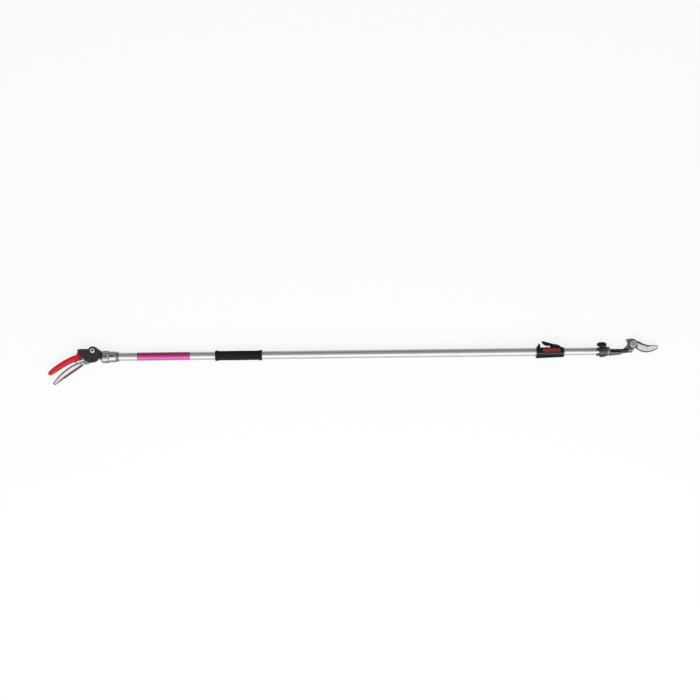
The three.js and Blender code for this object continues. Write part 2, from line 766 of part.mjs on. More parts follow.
// The moulded lock: a trough round both tubes with a window in each side, a horn at its back
// that guards the thumb lever, and two ears for the lever's pin.
function lockHousing() {
  const pivot = lockPivotX;
  const side = rounded([
    [lockBack - 0.2, lockBottom, 2.5], [lockFront - 2, lockBottom + 3, 4], [lockFront, 2, 2],
    [lockFront - 1.5, lockTop - 1.4, 3], [lockFront - 10.5, lockTop + 1.4, 2],
    [pivot + 8, lockPivot.y + 3.2, 3], [pivot - 7, lockPivot.y + 4, 3], [pivot - 12, lockTop, 1.5],
    [lockBack + hornLength, lockTop, 1.5], [lockBack + hornLength, lockTop + hornHeight - 3, 1.5],
    [lockBack + 10.2, lockTop + hornHeight, 1.5], [lockBack + 5.6, lockTop + 4.5, 4],
    [lockBack, lockTop - 3.4, 3],
    [lockBack + 2, -7, 4],
  ]);
  const section = new THREE.Shape();
  const low = lockBottom - 0.5;
  const corner = 9;
  section.moveTo(-sideHalf, through);
  section.lineTo(-sideHalf, low + corner);
  section.quadraticCurveTo(-sideHalf, low, -sideHalf + corner, low);
  section.lineTo(sideHalf - corner, low);
  section.quadraticCurveTo(sideHalf, low, sideHalf, low + corner);
  section.lineTo(sideHalf, through);
  section.closePath();
  const sweep = prism(section, 0, lockLength + 2).rotate([0, 90, 0]).translate([lockBack - 1, 0, 0]);
  const hornRoom = lockInside - 4;
  const block = softPrism(side, -sideHalf, sideHalf, 0.6).intersect(sweep);
  return cut(
    block,
    rodX(lockBack - 2, outerTubeEnd + seat, outerRadius + seat),
    rodX(outerTubeEnd, lockFront + 1, innerRadius + running),
    box(saddleBack - seat, saddleFront + seat, saddleLow - seat, through, -lockInside, lockInside),
    windowCut(),
    box(lockBack - 2, lockBack + 14, lockTop, through, hornRoom, through),
    box(lockBack - 2, lockBack + 14, lockTop, through, -through, -hornRoom),
    discZ(pivot, lockPivot.y, lockPinRadius + seat, -through, through, 24),
  );
}

function windowCut() {
  const corners = [[saddleBack + 1, saddleLow - seat, 2], [saddleFront - 1, saddleLow - seat, 2],
    [saddleFront - 1, windowTop, 3], [saddleBack + 1, windowTop, 3]];
  return prism(rounded(corners), -through, through);
}

// The red saddle that grips the inner tube from above. A slotted tongue takes the lever's link.
function lockSaddle() {
  const link = linkPlace();
  const width = lockInside - running;
  const block = box(saddleBack, saddleFront, saddleLow, lockTop, -width, width);
  const tongue = box(link.x - 3.6, link.x + 3.6, lockTop - 1, link.y + 2.6, -2.5, 2.5);
  const slot = join(
    discZ(link.x - 0.6, link.y, 1.5 + running, -5, 5, 20),
    discZ(link.x + 0.6, link.y, 1.5 + running, -5, 5, 20),
  );
  return cut(join(block, tongue), rodX(saddleBack - 1, saddleFront + 1, innerRadius + running), slot);
}

function linkPlace() {
  return { x: lockPivotX + 14, y: lockPivot.y - 2.6 };
}

// The thumb lever: a broad bar that slopes up toward the handles, with a fork at its far end.
function lockLever() {
  const pivot = lockPivotX;
  const tip = pivot - thumbReach;
  const link = linkPlace();
  const half = thumbWidth / 2;
  const bar = softPrism(
    rounded([
      [tip, lockPivot.y + 14.6, 2.5], [tip + 1, lockPivot.y + 6.6, 3], [tip + 10, lockPivot.y - 0.3, 2],
      [(tip + pivot) / 2, lockPivot.y - 1.2, 2], [pivot - 8, lockPivot.y - 2.4, 2],
      [pivot + 5, lockPivot.y - 2.8, 2],
      [link.x, link.y - 2.3, 2], [link.x + 2.6, link.y - 1.3, 2], [link.x + 2.6, link.y + 2, 2],
      [pivot + 8, lockPivot.y + 3, 2], [pivot, lockPivot.y + 4.2, 2], [pivot - 8, lockPivot.y + 6, 2],
    ]),
    -half,
    half,
    0.6,
  );
  const ears = discZ(pivot, lockPivot.y, 3.6, -lockInside + running, lockInside - running, 24);
  const forkRoom = box(pivot + 7, link.x + 10, link.y - 6, link.y + 10, -2.9, 2.9);
  return cut(
    join(bar, ears),
    forkRoom,
    discZ(pivot, lockPivot.y, lockPinRadius + running, -through, through, 24),
    discZ(link.x, link.y, 1.5 + seat, -through, through, 20),
    discY(lockSpringX, 0, springPocket, lockPivot.y - 6, lockPivot.y + 3.2, 14),
  );
}

function lockPin() {
  return discZ(lockPivotX, lockPivot.y, lockPinRadius, -sideHalf + 0.4, sideHalf - 0.4, 24);
}

function linkPin() {
  const link = linkPlace();
  return discZ(link.x, link.y, 1.5, -thumbWidth / 2 + 0.4, thumbWidth / 2 - 0.4, 20);
}

// A round-wire helix from one point to another.
function coilSpring(start, end, radius, wire, turns, stepsPerTurn = 6, sides = 4) {
  const axis = end.clone().sub(start);
  const length = axis.length();
  axis.normalize();
  const across = vec3(0, 0, 1).cross(axis).normalize();
  const up = axis.clone().cross(across);
  const points = [];
  const count = turns * stepsPerTurn;
  for (let i = 0; i <= count; i += 1) {
    const angle = (i / stepsPerTurn) * 2 * Math.PI;
    points.push(start.clone()
      .addScaledVector(axis, length * (i / count))
      .addScaledVector(across, radius * Math.cos(angle))
      .addScaledVector(up, radius * Math.sin(angle)));
  }
  return wireThrough(points, wire / 2, sides);
}

function lockSpring() {
  const start = vec3(lockSpringX, lockTop + seat + 0.4, 0);
  const end = vec3(lockSpringX, lockPivot.y + 2.4, 0);
  return coilSpring(start, end, 3, 0.8, 4);
}

// ---------------------------------------------------------------- head clamp
const knobX = clampBack + 8.5;

// The cast clamp on the inner tube's end, with two ears toward the lock, a boss for the knob
// and a round pad below.
function headClamp() {
  const front = turnedX([
    [clampBack, clampRadius - 1.5], [clampBack + 1.5, clampRadius], [clampFront - 1, clampRadius],
    [clampFront, clampRadius - 1],
  ]);
  const ears = cut(
    turnedX([
      [clampBack - 9, innerRadius + 2.4], [clampBack - 8, innerRadius + 3.2], [clampBack + 2, innerRadius + 3.2],
    ]),
    box(clampBack - 12, clampBack - 0.5, -9, 0.8, -through, through),
    box(clampBack - 12, clampBack, 8.2, through, -through, through),
  );
  const boss = discY(knobX, 0, 8.5, 8, clampRadius - 1.5);
  const pad = discY(clampBack + 9, 0, 8, -clampRadius - 2, -10);
  return cut(
    join(front, ears, boss, pad),
    rodX(clampBack - 12, innerTubeEnd + seat, innerRadius + seat),
    rodX(innerTubeEnd - 5, clampFront + 1, spigotRadius + running),
    discY(knobX, 0, studRadius + seat, innerRadius - 2, through, 20),
    box(clampBack - 12, clampFront + 1, clampFlat, through, -through, through),
  );
}

// The knob: a domed cap with shallow flutes.
function clampKnob() {
  const low = clampFlat + running;
  const high = low + knobHeight;
  const profile = [[0, low], [knobRadius - 2.6, low], [knobRadius, low + 4.4], [knobRadius - 0.6, low + 7.4],
    [knobRadius - 3, low + 10.6], [knobRadius - 7, high - 0.8], [0, high]];
  const points = profile.map(([r, y]) => vec2(r, y));
  const cap = solid(new THREE.LatheGeometry(points, 32).translate(knobX, 0, 0));
  const flutes = [];
  const count = 8;
  for (let i = 0; i < count; i += 1) {
    const angle = ((i + 0.5) / count) * 2 * Math.PI;
    const r = knobRadius + 2.2;
    flutes.push(discY(knobX + r * Math.cos(angle), r * Math.sin(angle), 3.4, low - 1, high + 1, 10));
  }
  return cut(cap, ...flutes, discY(knobX, 0, studRadius + seat, low - 1, high - 4, 20));
}

function clampStud() {
  const low = clampFlat + running;
  return discY(knobX, 0, studRadius, innerRadius + 0.5, low + knobHeight - 4 - seat, 20);
}

function swivelRing() {
  return turnedX([
    [ringBack, ringRadius], [ringFront - 2, ringRadius], [ringFront, ringRadius - 2],
  ], spigotRadius + seat);
}

// ---------------------------------------------------------------- head arm
// A point of the head, given from the blade pivot.
const fromPivot = (dx, dy, fillet = 0) => [pivotX + dx, pivotY + dy, fillet];

// The cast arm: a spigot that turns inside the inner tube, a trough that carries the return
// spring, and a plate behind the blades that ends in the hook for pulling down cut twigs.
function headArm() {
  const start = ringFront + seat;
  const end = start + armLength;
  const spigot = rodX(clampBack + 5, start + 1, spigotRadius);
  const low = -14.6;
  const front = wireEndZ + 6.2;
  const floor = rounded([
    [start, -8.4, 0], [start, low, 1], [start + 33, low + 3.4, 2], [start + 36, -8.6, 1],
  ]);
  const wall = rounded([
    [start, -3.6, 0], [start, low, 1], [start + 33, low + 3.4, 2], [start + 37, -8.4, 2],
    [start + 30, -3.8, 4],
  ]);
  const back = rounded([
    [start, 5.4, 0], [start, low, 1], [start + 33, low + 3.4, 3], [start + 38, -8, 3], [end, -6.2, 2],
    [end, 5.6, 2],
  ]);
  const plate = rounded([
    fromPivot(-34, -17, 4), fromPivot(-23.6, -8.4, 4), fromPivot(-17.6, -1, 5), fromPivot(-19, 7, 3),
    fromPivot(-23.4, 13.4, 0.6), fromPivot(-18, 16, 3), fromPivot(-9, 17, 4), fromPivot(2, 16.4, 4),
    fromPivot(11.6, 11, 6), fromPivot(11, -6, 6), fromPivot(1, -14, 4), fromPivot(-2, -23, 2),
    fromPivot(-5, -26.6, 1), fromPivot(-19, -26.4, 3), fromPivot(-36, -28, 2),
  ]);
  return cut(
    join(
      spigot,
      prism(floor, headPlateBack, front),
      prism(wall, front - 3, front),
      prism(back, headPlateBack, headPlateFront),
      prism(plate, headPlateBack, headPlateFront),
    ),
    rodX(clampBack, start + 2, 3, 20),
    discZ(pivotX, pivotY, boltRadius + seat, -through, through, 24),
    ...footRivets.map(([x, y]) => discZ(x, y, 1.8 + seat, -through, through, 12)),
  );
}

const footRivets = [
  [pivotX - 12.5, pivotY - 20.5],
  [pivotX - 13, pivotY - 8.5],
];

// The fixed hook blade. Its inner edge is a hollow curve that the cutting blade passes.
function hookBlade() {
  const place = (dx, dy) => vec2(pivotX + dx, pivotY + dy);
  const shape = new THREE.Shape();
  const go = (...points) => shape.splineThru(points.map(([dx, dy]) => place(dx, dy)));
  shape.moveTo(pivotX - 18, pivotY - 25.6);
  shape.lineTo(pivotX - 5, pivotY - 26);
  go([-2.4, -21], [1.2, -15.6], [4.8, -12.8], [8, -13.8]);
  go([16.4, -19.8], [25, -24], [35, -26.1], [46, -25.9], [58, -23.2], [70, -18.2], [77, -13.2]);
  go([68, -13.4], [52, -15.2], [38, -15.4], [24, -12.4], [13.5, -6]);
  shape.absarc(pivotX, pivotY, 13, radians(-20), radians(205));
  shape.lineTo(pivotX - 18, pivotY - 14);
  shape.closePath();
  return cut(
    softPrism(shape, hookBack, hookFront, 0.5),
    discZ(pivotX, pivotY, boltRadius + seat, -through, through, 24),
    ...footRivets.map(([x, y]) => discZ(x, y, 1.8 + seat, -through, through, 12)),
  );
}

// The moving blade: a convex cutting edge below, ground to a bevel on the hook's side, and a
// tail behind the pivot that the wire pulls.
function cuttingBlade() {
  const place = (dx, dy) => vec2(pivotX + dx, pivotY + dy);
  const tailX = pinX - pivotX;
  const tailY = pinY - pivotY;
  const shape = new THREE.Shape();
  const go = (...points) => shape.splineThru(points.map(([dx, dy]) => place(dx, dy)));
  shape.moveTo(pivotX - 13, pivotY - 4);
  shape.absarc(pivotX, pivotY, 13.6, radians(197), radians(50), true);
  go([18, 7.6], [27.6, 2.2], [37, -1.8], [46, -3.6]);
  go([58, -4], [69, -4.9], [75.6, -6.4], [77.4, -10.6]);
  go([70, -15.4], [58, -20], [46, -22.4], [35, -22.4], [25, -20.4], [14, -15.4], [5, -12.6]);
  go([1, -15], [tailX + 4.4, tailY], [tailX, tailY - 4.4], [tailX - 4.6, tailY], [-11.4, -10]);
  shape.closePath();
  return cut(
    softPrism(shape, -bladeHalf, bladeHalf, 0.4),
    discZ(pivotX, pivotY, boltRadius + running, -through, through, 24),
    discZ(pinX, pinY, tailPinRadius + seat, -through, through, 12),
    ...holderRivets.map(([x, y]) => discZ(x, y, 1.6 + seat, -through, through, 12)),
  );
}

const holderRivets = [
  [pivotX + 21, pivotY - 8],
  [pivotX + 42, pivotY - 14.5],
];

// The thin plate on the blade that keeps hold of the cut twig.
function holdingPlate() {
  const place = (dx, dy) => vec2(pivotX + dx, pivotY + dy);
  const shape = new THREE.Shape();
  const go = (...points) => shape.splineThru(points.map(([dx, dy]) => place(dx, dy)));
  shape.moveTo(pivotX + 12, pivotY + 3.4);
  go([18, 0.2], [27.6, -4], [37, -6.8], [45.6, -9.6]);
  shape.lineTo(pivotX + 48.4, pivotY - 6.4);
  go([60, -6.2], [70, -7], [75.4, -9], [76, -11.6]);
  go([69, -15], [58, -19.2], [47, -21.6], [36, -21.8], [26, -20], [18, -16.6], [11.4, -12]);
  go([13.2, -6], [12, 3.4]);
  shape.closePath();
  const back = bladeHalf + seat;
  return cut(
    softPrism(shape, back, back + holderThickness, 0.25),
    ...holderRivets.map(([x, y]) => discZ(x, y, 1.6 + seat, -through, through, 12)),
  );
}

function holderRivet([x, y]) {
  const top = bladeHalf + seat + holderThickness + seat;
  const profile = [[-bladeHalf, 1.6], [top, 1.6], [top, 2.8], [top + 0.6, 2.4], [top + 0.9, 1.4]];
  return turnedZ(x, y, profile, 0, 12);
}

function footRivet([x, y]) {
  const top = headPlateBack - seat;
  return turnedZ(x, y, [[top - 1, 1.8], [top - 0.5, 3], [top, 3], [top, 1.8], [hookFront - 0.1, 1.8]], 0, 12);
}

function bladeWasher() {
  const low = bladeHalf + running;
  const profile = [[low, washerRadius], [low + 0.7, washerRadius], [low + 1, washerRadius - 0.4]];
  return turnedZ(pivotX, pivotY, profile, boltRadius + seat);
}

function bladeBolt() {
  const seatZ = bladeHalf + running + 1 + seat;
  const end = headPlateBack - 6.4;
  const bolt = turnedZ(pivotX, pivotY, [
    [end, boltRadius - 0.4], [end + 0.5, boltRadius], [seatZ, boltRadius], [seatZ, 7.6], [seatZ + 2.4, 7.6],
    [seatZ + 3.4, 6.4],
  ]);
  return cut(bolt, box(pivotX - 9, pivotX + 9, pivotY - 0.8, pivotY + 0.8, seatZ + 2, seatZ + 5));
}

// The wire's end fitting: an eye on the blade's tail pin, a shank and the return spring's seat.
// The eye's hole leaves room for the pin to dip as the blade swings.
function wireEnd() {
  const seatX = pinX - wireShank;
  const flange = turnedX([[seatX, 4.4], [seatX + 1.4, 4.4], [seatX + 2.2, 3]], 0, 20);
  const shank = rodX(seatX + 1, pinX, 1.25, 12);
  const eye = discZ(pinX, 0, 3.9, -1.25, 1.25);
  const fitting = join(flange, shank, eye).translate([0, wireY, wireEndZ]);
  return cut(fitting, discZ(pinX, wireY, tailPinRadius + running + pinSag / 2, -through, through, 16));
}

function tailPin() {
  const head = wireEndZ + 1.25 + running;
  const profile = [[-bladeHalf, tailPinRadius], [head, tailPinRadius], [head, 2.8], [head + 0.8, 2.4]];
  return turnedZ(pinX, pinY, profile, 0, 12);
}

function returnSpring() {
  const start = vec3(ringFront + seat + 1 + seat + springWire / 2, 1.2, 0.4);
  const end = vec3(pinX - wireShank - seat - springWire / 2, wireY, wireEndZ);
  return coilSpring(start, end, springRadius - springWire / 2, springWire, springTurns);
}

// The steel wire from the reel, through the fairlead and both tubes, to its end fitting.
function pullWire() {
  const run = windingRadius + pullWireRadius + seat;
  const mouth = housingStep - 5;
  const leads = vec2(mouth - 2 - reelAxle.x, -0.5 - reelAxle.y);
  const leaves = leads.angle() - Math.acos(run / leads.length());
  return wireThrough([
    vec3(reelAxle.x + run * Math.cos(leaves), reelAxle.y + run * Math.sin(leaves), windingZ),
    vec3(mouth - 2, -0.5, 0),
    vec3(mouth + 3, 0, 0),
    vec3(ringFront - 8, 0, 0),
    vec3(ringFront - 2, wireY * 0.1, 0.2),
    vec3(pinX - wireShank - seat, wireY, wireEndZ),
  ], pullWireRadius);
}

// ---------------------------------------------------------------- assembly
add('outer_tube', tube(outerTubeStart, outerTubeEnd, outerRadius), tubeMetal);
add('inner_tube', tube(innerTubeStart, innerTubeEnd, innerRadius), tubeMetal);
add('label_band', labelBand(), magentaFilm);
add('foam_grip', foamGrip(), blackFoam);
add('inner_tube_plug', innerPlug(), nylon);

add('handle_body', handleBody(), castMetal);
add('front_cover', housingCover(1), blackPlastic);
add('rear_cover', housingCover(-1), blackPlastic);
add('pivot_bolt', pivotBolt(), steel);
add('pivot_nut', nut(hub.x, hub.y, -sideHalf + 1, -sideHalf + 4.9, 7, boltRadius + seat), darkSteel);
screwPlaces.forEach((place, i) => add(`cover_screw_${i + 1}`, coverScrew(place), darkSteel));
add('wire_fairlead', fairlead(), nylon);
add('tube_collar', tubeCollar(), castMetal);
add('collar_ring', collarRing(), blackPlastic);

add('grip_sleeve', gripSleeve(), redVinyl);
add('trigger_lever', triggerLever(), castMetal);
add('finger_pad', fingerPad(), redVinyl);

add('wire_reel', wireReel(), nylon);
add('wire_winding', wireWinding(), steel);
add('reel_pin', reelPin(), steel);
add('take_up_spring', takeUpSpring(), steel);
add('reel_brake', reelBrake(), darkSteel);
add('brake_pin', brakePin(), steel);

add('lock_housing', lockHousing(), blackPlastic);
add('lock_saddle', lockSaddle(), redPlastic);
add('lock_lever', lockLever(), blackPlastic);
add('lock_pin', lockPin(), steel);
add('lock_link_pin', linkPin(), steel);
add('lock_spring', lockSpring(), steel);

add('head_clamp', headClamp(), castMetal);
add('clamp_knob', clampKnob(), blackPlastic);
add('clamp_stud', clampStud(), steel);
add('swivel_ring', swivelRing(), castMetal);

add('head_arm', headArm(), castMetal);
add('hook_blade', hookBlade(), steel);
add('cutting_blade', cuttingBlade(), steel);
add('holding_plate', holdingPlate(), steel);
holderRivets.forEach((place, i) => add(`holder_rivet_${i + 1}`, holderRivet(place), steel));
footRivets.forEach((place, i) => add(`foot_rivet_${i + 1}`, footRivet(place), darkSteel));
add('blade_washer', bladeWasher(), steel);
add('blade_bolt', bladeBolt(), steel);
const bladeNut = nut(pivotX, pivotY, headPlateBack - 5.4, headPlateBack - seat, 7, boltRadius + seat);
add('blade_nut', bladeNut, darkSteel);
add('tail_pin', tailPin(), steel);
add('wire_end', wireEnd(), darkSteel);
add('return_spring', returnSpring(), darkSteel);
add('pull_wire', pullWire(), steel);

group.position.z = sideHalf;

export default group;
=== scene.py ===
"""Looks for the telescopic cut-and-hold pruner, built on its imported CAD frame.

Everything is in metres in the CAD frame: +X runs along the pole from the handles to the blades, +Y is the
side of the fixed grip, and the tool lies on its side on the floor Z = 0.
"""
import math
import bmesh
import bpy
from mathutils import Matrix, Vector


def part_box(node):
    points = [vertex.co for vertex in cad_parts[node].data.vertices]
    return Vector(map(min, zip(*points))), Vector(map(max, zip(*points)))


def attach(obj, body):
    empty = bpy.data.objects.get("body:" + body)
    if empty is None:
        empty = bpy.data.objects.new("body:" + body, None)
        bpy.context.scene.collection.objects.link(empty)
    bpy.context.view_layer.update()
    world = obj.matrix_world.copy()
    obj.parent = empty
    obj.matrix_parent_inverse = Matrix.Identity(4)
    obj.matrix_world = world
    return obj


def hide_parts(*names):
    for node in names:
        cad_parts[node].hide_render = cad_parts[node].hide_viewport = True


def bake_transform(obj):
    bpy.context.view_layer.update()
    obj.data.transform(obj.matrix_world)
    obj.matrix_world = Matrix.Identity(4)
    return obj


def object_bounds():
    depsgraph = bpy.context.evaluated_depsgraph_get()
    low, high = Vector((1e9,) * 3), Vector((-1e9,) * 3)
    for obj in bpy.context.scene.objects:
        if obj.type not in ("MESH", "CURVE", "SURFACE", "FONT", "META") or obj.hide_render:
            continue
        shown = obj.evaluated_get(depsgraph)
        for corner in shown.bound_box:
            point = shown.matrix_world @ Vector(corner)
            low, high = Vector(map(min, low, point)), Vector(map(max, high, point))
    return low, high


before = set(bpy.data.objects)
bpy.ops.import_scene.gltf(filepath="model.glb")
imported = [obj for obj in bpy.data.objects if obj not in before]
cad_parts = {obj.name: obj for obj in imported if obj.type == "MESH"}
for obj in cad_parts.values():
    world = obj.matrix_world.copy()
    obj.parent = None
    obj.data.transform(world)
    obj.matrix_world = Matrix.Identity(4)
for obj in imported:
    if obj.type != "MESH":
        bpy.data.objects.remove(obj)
CAD_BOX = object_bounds()
MM = 0.001


def node_middle(name):
    """The middle of a CAD node's box."""
    low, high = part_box(name)
    return (low + high) / 2


AXIS = node_middle("outer_tube")  # a point on the pole's axis, halfway along its outer tube
COVER_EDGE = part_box("front_cover")[0].x  # where the grip and the lever come out of the covers


# ---------------------------------------------------------------- camera, light and floor
VIEW_DISTANCE = 6.0  # from the pole's axis
VIEW_WIDTH = 2.156  # how much of the pole's plane the picture takes in
VIEW_ROLL = math.radians(-0.6745)
MIDDLE = (CAD_BOX[0].x + CAD_BOX[1].x) / 2  # halfway along the whole tool
AIM = Vector((-9.6, 12.8, 0)) * MM  # from the pole's axis at the tool's middle
SOFTBOX_PLACE = Vector((0, -1.8, 1.9))  # from the point of the floor under the tool's middle
SOFTBOX_SIZE = (4.4, 2.8)
SOFTBOX_WATTS = 72
FLOOR_SIZE = 14


def camera():
    """Looks straight down on the tool, from the side that the photograph shows."""
    data = bpy.data.cameras.new("camera")
    data.lens = data.sensor_width * VIEW_DISTANCE / VIEW_WIDTH
    data.clip_end = 30  # past the floor's corners
    made = bpy.data.objects.new("camera", data)
    made.location = Vector((MIDDLE, AXIS.y, AXIS.z + VIEW_DISTANCE)) + AIM
    made.rotation_euler = (0, 0, VIEW_ROLL)
    bpy.context.scene.collection.objects.link(made)
    bpy.context.scene.camera = made


def softbox(target):
    """A large rectangular lamp that faces the target."""
    data = bpy.data.lights.new("softbox", "AREA")
    data.shape = "RECTANGLE"
    data.size, data.size_y = SOFTBOX_SIZE
    data.energy = SOFTBOX_WATTS
    made = bpy.data.objects.new("softbox", data)
    made.location = target + SOFTBOX_PLACE
    made.rotation_euler = (-SOFTBOX_PLACE).to_track_quat("-Z", "Y").to_euler()
    bpy.context.scene.collection.objects.link(made)


SPAN = ("From Min", "From Max", "To Min", "To Max")  # the sockets of a Map Range node
ROOM_LIGHT = (0.62, 0.26)  # the room's brightness toward the lamp's side, and away from it
ROOM_DIMS = (0.1, 0.85)  # where it starts and stops dimming, as the Y part of the direction looked in


def room():
    """A pale room, dimmer on the side away from the lamp."""
    world = bpy.data.worlds.new("room")
    bpy.context.scene.world = world
    world.use_nodes = True
    tree = world.node_tree
    direction = tree.nodes.new("ShaderNodeTexCoord").outputs["Generated"]
    parts = tree.nodes.new("ShaderNodeSeparateXYZ")
    tree.links.new(direction, parts.inputs["Vector"])
    light = tree.nodes.new("ShaderNodeMapRange")
    tree.links.new(parts.outputs["Y"], light.inputs["Value"])
    for socket, number in zip(SPAN, (*ROOM_DIMS, *ROOM_LIGHT)):
        light.inputs[socket].default_value = number
    background = tree.nodes["Background"]
    background.inputs["Color"].default_value = (1, 1, 1, 1)
    tree.links.new(light.outputs["Result"], background.inputs["Strength"])


def studio():
    """A large softbox on the lever's side, a dim pale room, and white paper under the tool."""
    centre = Vector((MIDDLE, 0, 0))
    softbox(centre)
    room()
    bpy.ops.mesh.primitive_plane_add(size=FLOOR_SIZE, location=centre)
    floor = bpy.context.object
    floor.name = "floor"
    floor.data.materials.append(floor_paper())


# ---------------------------------------------------------------- materials
class Look:
    """A procedural material. Its patterns lie in the object's own coordinates, in metres."""

    def __init__(self, name, color, roughness, metallic=0.0, **sockets):
        self.made = bpy.data.materials.new(name)
        self.made.use_nodes = True
        self.tree = self.made.node_tree
        self.shader = self.tree.nodes["Principled BSDF"]
        self.shader.inputs["Base Color"].default_value = (*color, 1)
        self.shader.inputs["Roughness"].default_value = roughness
        self.shader.inputs["Metallic"].default_value = metallic
        for socket, value in sockets.items():
            self.shader.inputs[socket.replace("_", " ")].default_value = value
        self.place = self.node("ShaderNodeTexCoord").outputs["Object"]
        self.normal = None

    def feed(self, socket, value):
        """Sets a socket to a plain value, or links another node's output to it."""
        if isinstance(value, bpy.types.NodeSocket):
            self.tree.links.new(value, socket)
        else:
            socket.default_value = value

    def node(self, kind, settings=None, **inputs):
        """A new node of that kind, with its settings and what its inputs are set to or linked to."""
        made = self.tree.nodes.new(kind)
        for key, value in (settings or {}).items():
            setattr(made, key, value)
        for key, value in inputs.items():
            self.feed(made.inputs[key.replace("_", " ")], value)
        return made

    def stretched(self, stretch):
        """The coordinates, with patterns drawn out along each axis by that many times."""
        shrink = Vector((1 / stretch[0], 1 / stretch[1], 1 / stretch[2]))
        made = self.node("ShaderNodeMapping", {"vector_type": "POINT"}, Vector=self.place, Scale=shrink)
        return made.outputs["Vector"]

    def grain(self, size, stretch=(1, 1, 1), detail=3.0):
        """Noise from 0 to 1 whose spots are about size across."""
        vector = self.stretched(stretch) if stretch != (1, 1, 1) else self.place
        return self.node("ShaderNodeTexNoise", Vector=vector, Scale=1 / size, Detail=detail).outputs["Fac"]

    def cells(self, size):
        """0 at the middle of each foam cell, rising to its walls."""
        return self.node("ShaderNodeTexVoronoi", Vector=self.place, Scale=1 / size).outputs["Distance"]

    def ramp(self, value, low, high, to_low=0.0, to_high=1.0):
        """The value's span from low to high taken to the other span, and held there outside it."""
        made = self.node("ShaderNodeMapRange", Value=value)
        for socket, number in zip(SPAN, (low, high, to_low, to_high)):
            made.inputs[socket].default_value = number
        return made.outputs["Result"]

    def compute(self, operation, *values):
        """A Math node's result for values that are numbers or other nodes' outputs."""
        made = self.node("ShaderNodeMath", {"operation": operation})
        for socket, value in zip(made.inputs, values):
            self.feed(socket, value)
        return made.outputs["Value"]

    def along(self, axis):
        """How far the point shaded lies along that axis."""
        return self.node("ShaderNodeSeparateXYZ", Vector=self.place).outputs[axis]

    def corners(self, reach, inside, none=0.95, full=0.5):
        """1 in the hollows of the shape, or along its outer edges if inside is true, and 0 on flats.
        none and full are the shares of open space at which it is 0 and 1."""
        made = self.node("ShaderNodeAmbientOcclusion", {"samples": 6, "inside": inside, "only_local": True},
                         Distance=reach)
        return self.ramp(made.outputs["AO"], none, full)

    def sides(self, steep, flat):
        """1 where the surface stands on edge, falling to 0 where it faces straight up or down."""
        normal = self.node("ShaderNodeNewGeometry").outputs["Normal"]
        lift = self.node("ShaderNodeSeparateXYZ", Vector=normal).outputs["Z"]
        return self.ramp(self.compute("ABSOLUTE", lift), steep, flat, 1.0, 0.0)

    def below(self, height):
        """1 on everything lower than that height above the floor."""
        return self.ramp(self.along("Z"), height, height - 0.1 * MM)

    def tint(self, mask, color):
        """Turns the colour toward another one where the mask is 1."""
        made = self.node("ShaderNodeMix", {"data_type": "RGBA"}, Factor=mask)
        base = self.shader.inputs["Base Color"]
        first, second = [socket for socket in made.inputs if socket.type == "RGBA"]
        self.feed(first, base.links[0].from_socket if base.is_linked else base.default_value)
        self.feed(second, (*color, 1))
        self.feed(base, next(socket for socket in made.outputs if socket.type == "RGBA"))

    def gloss(self, mask, low, high):
        """Roughness from low where the mask is 0 to high where it is 1."""
        self.feed(self.shader.inputs["Roughness"], self.ramp(mask, 0, 1, low, high))

    def bump(self, height, depth):
        """Raises the surface by depth where the height is 1. Bumps add up."""
        made = self.node("ShaderNodeBump", Height=height, Distance=depth, Strength=1.0)
        if self.normal:
            self.feed(made.inputs["Normal"], self.normal)
        self.normal = made.outputs["Normal"]
        self.feed(self.shader.inputs["Normal"], self.normal)
        return self


def shade(color, factor):
    """The colour made that many times as bright."""
    return tuple(factor * value for value in color)


PAPER_WHITE = 0.84  # how much of the paper, where it is seen, is plain white instead of lit paper


def floor_paper():
    """Matte white paper, lifted toward white so that it shows pale but still takes the shadow."""
    look = Look("floor_paper", (0.9, 0.9, 0.9), 0.9)
    rays = look.node("ShaderNodeLightPath").outputs
    seen = look.compute("MAXIMUM", rays["Is Camera Ray"], rays["Is Glossy Ray"])
    seen = look.compute("MAXIMUM", seen, rays["Is Transmission Ray"])
    white = look.node("ShaderNodeEmission", Color=(1, 1, 1, 1), Strength=1.0)
    mixed = look.node("ShaderNodeMixShader", Fac=look.compute("MULTIPLY", seen, PAPER_WHITE))
    look.feed(mixed.inputs[1], look.shader.outputs["BSDF"])
    look.feed(mixed.inputs[2], white.outputs["Emission"])
    look.feed(look.tree.nodes["Material Output"].inputs["Surface"], mixed.outputs["Shader"])
    return look.made


def anodised_tube():
    """Satin aluminium with fine drawing lines along the pole and faint handling marks."""
    look = Look("anodised_tube", (0.52, 0.525, 0.53), 0.32, 0.9)
    lines = look.grain(0.25 * MM, (300, 1, 1), 4)
    marks = look.grain(30 * MM, (2, 1, 1), 4)
    look.tint(look.ramp(marks, 0.5, 0.75), (0.47, 0.475, 0.48))
    look.gloss(look.ramp(lines, 0.3, 0.7), 0.36, 0.48)
    return look.bump(lines, 0.012 * MM).made


def die_cast(name, color, low, high, flank_shade):
    """Tumbled die-cast alloy: a fine pebbled skin with painted shade in its hollows, brighter on its edges,
    and painted shade on its flanks, where its colour is multiplied by the given flank shade factor."""
    look = Look(name, color, low, 0.85)
    skin = look.grain(0.7 * MM, detail=4)
    patches = look.grain(9 * MM)
    look.tint(look.ramp(patches, 0.45, 0.75), shade(color, 0.88))
    # Painted shade: the flanks are darkened by the flank shade factor.
    look.tint(look.sides(0.42, 0.8), shade(color, flank_shade))
    # Painted shade: the hollows are darkened.
    look.tint(look.corners(2.5 * MM, False), shade(color, 0.15))
    look.tint(look.corners(0.6 * MM, True), shade(color, 1.5))
    look.gloss(look.ramp(skin, 0.3, 0.7), low, high)
    return look.bump(skin, 0.02 * MM).made


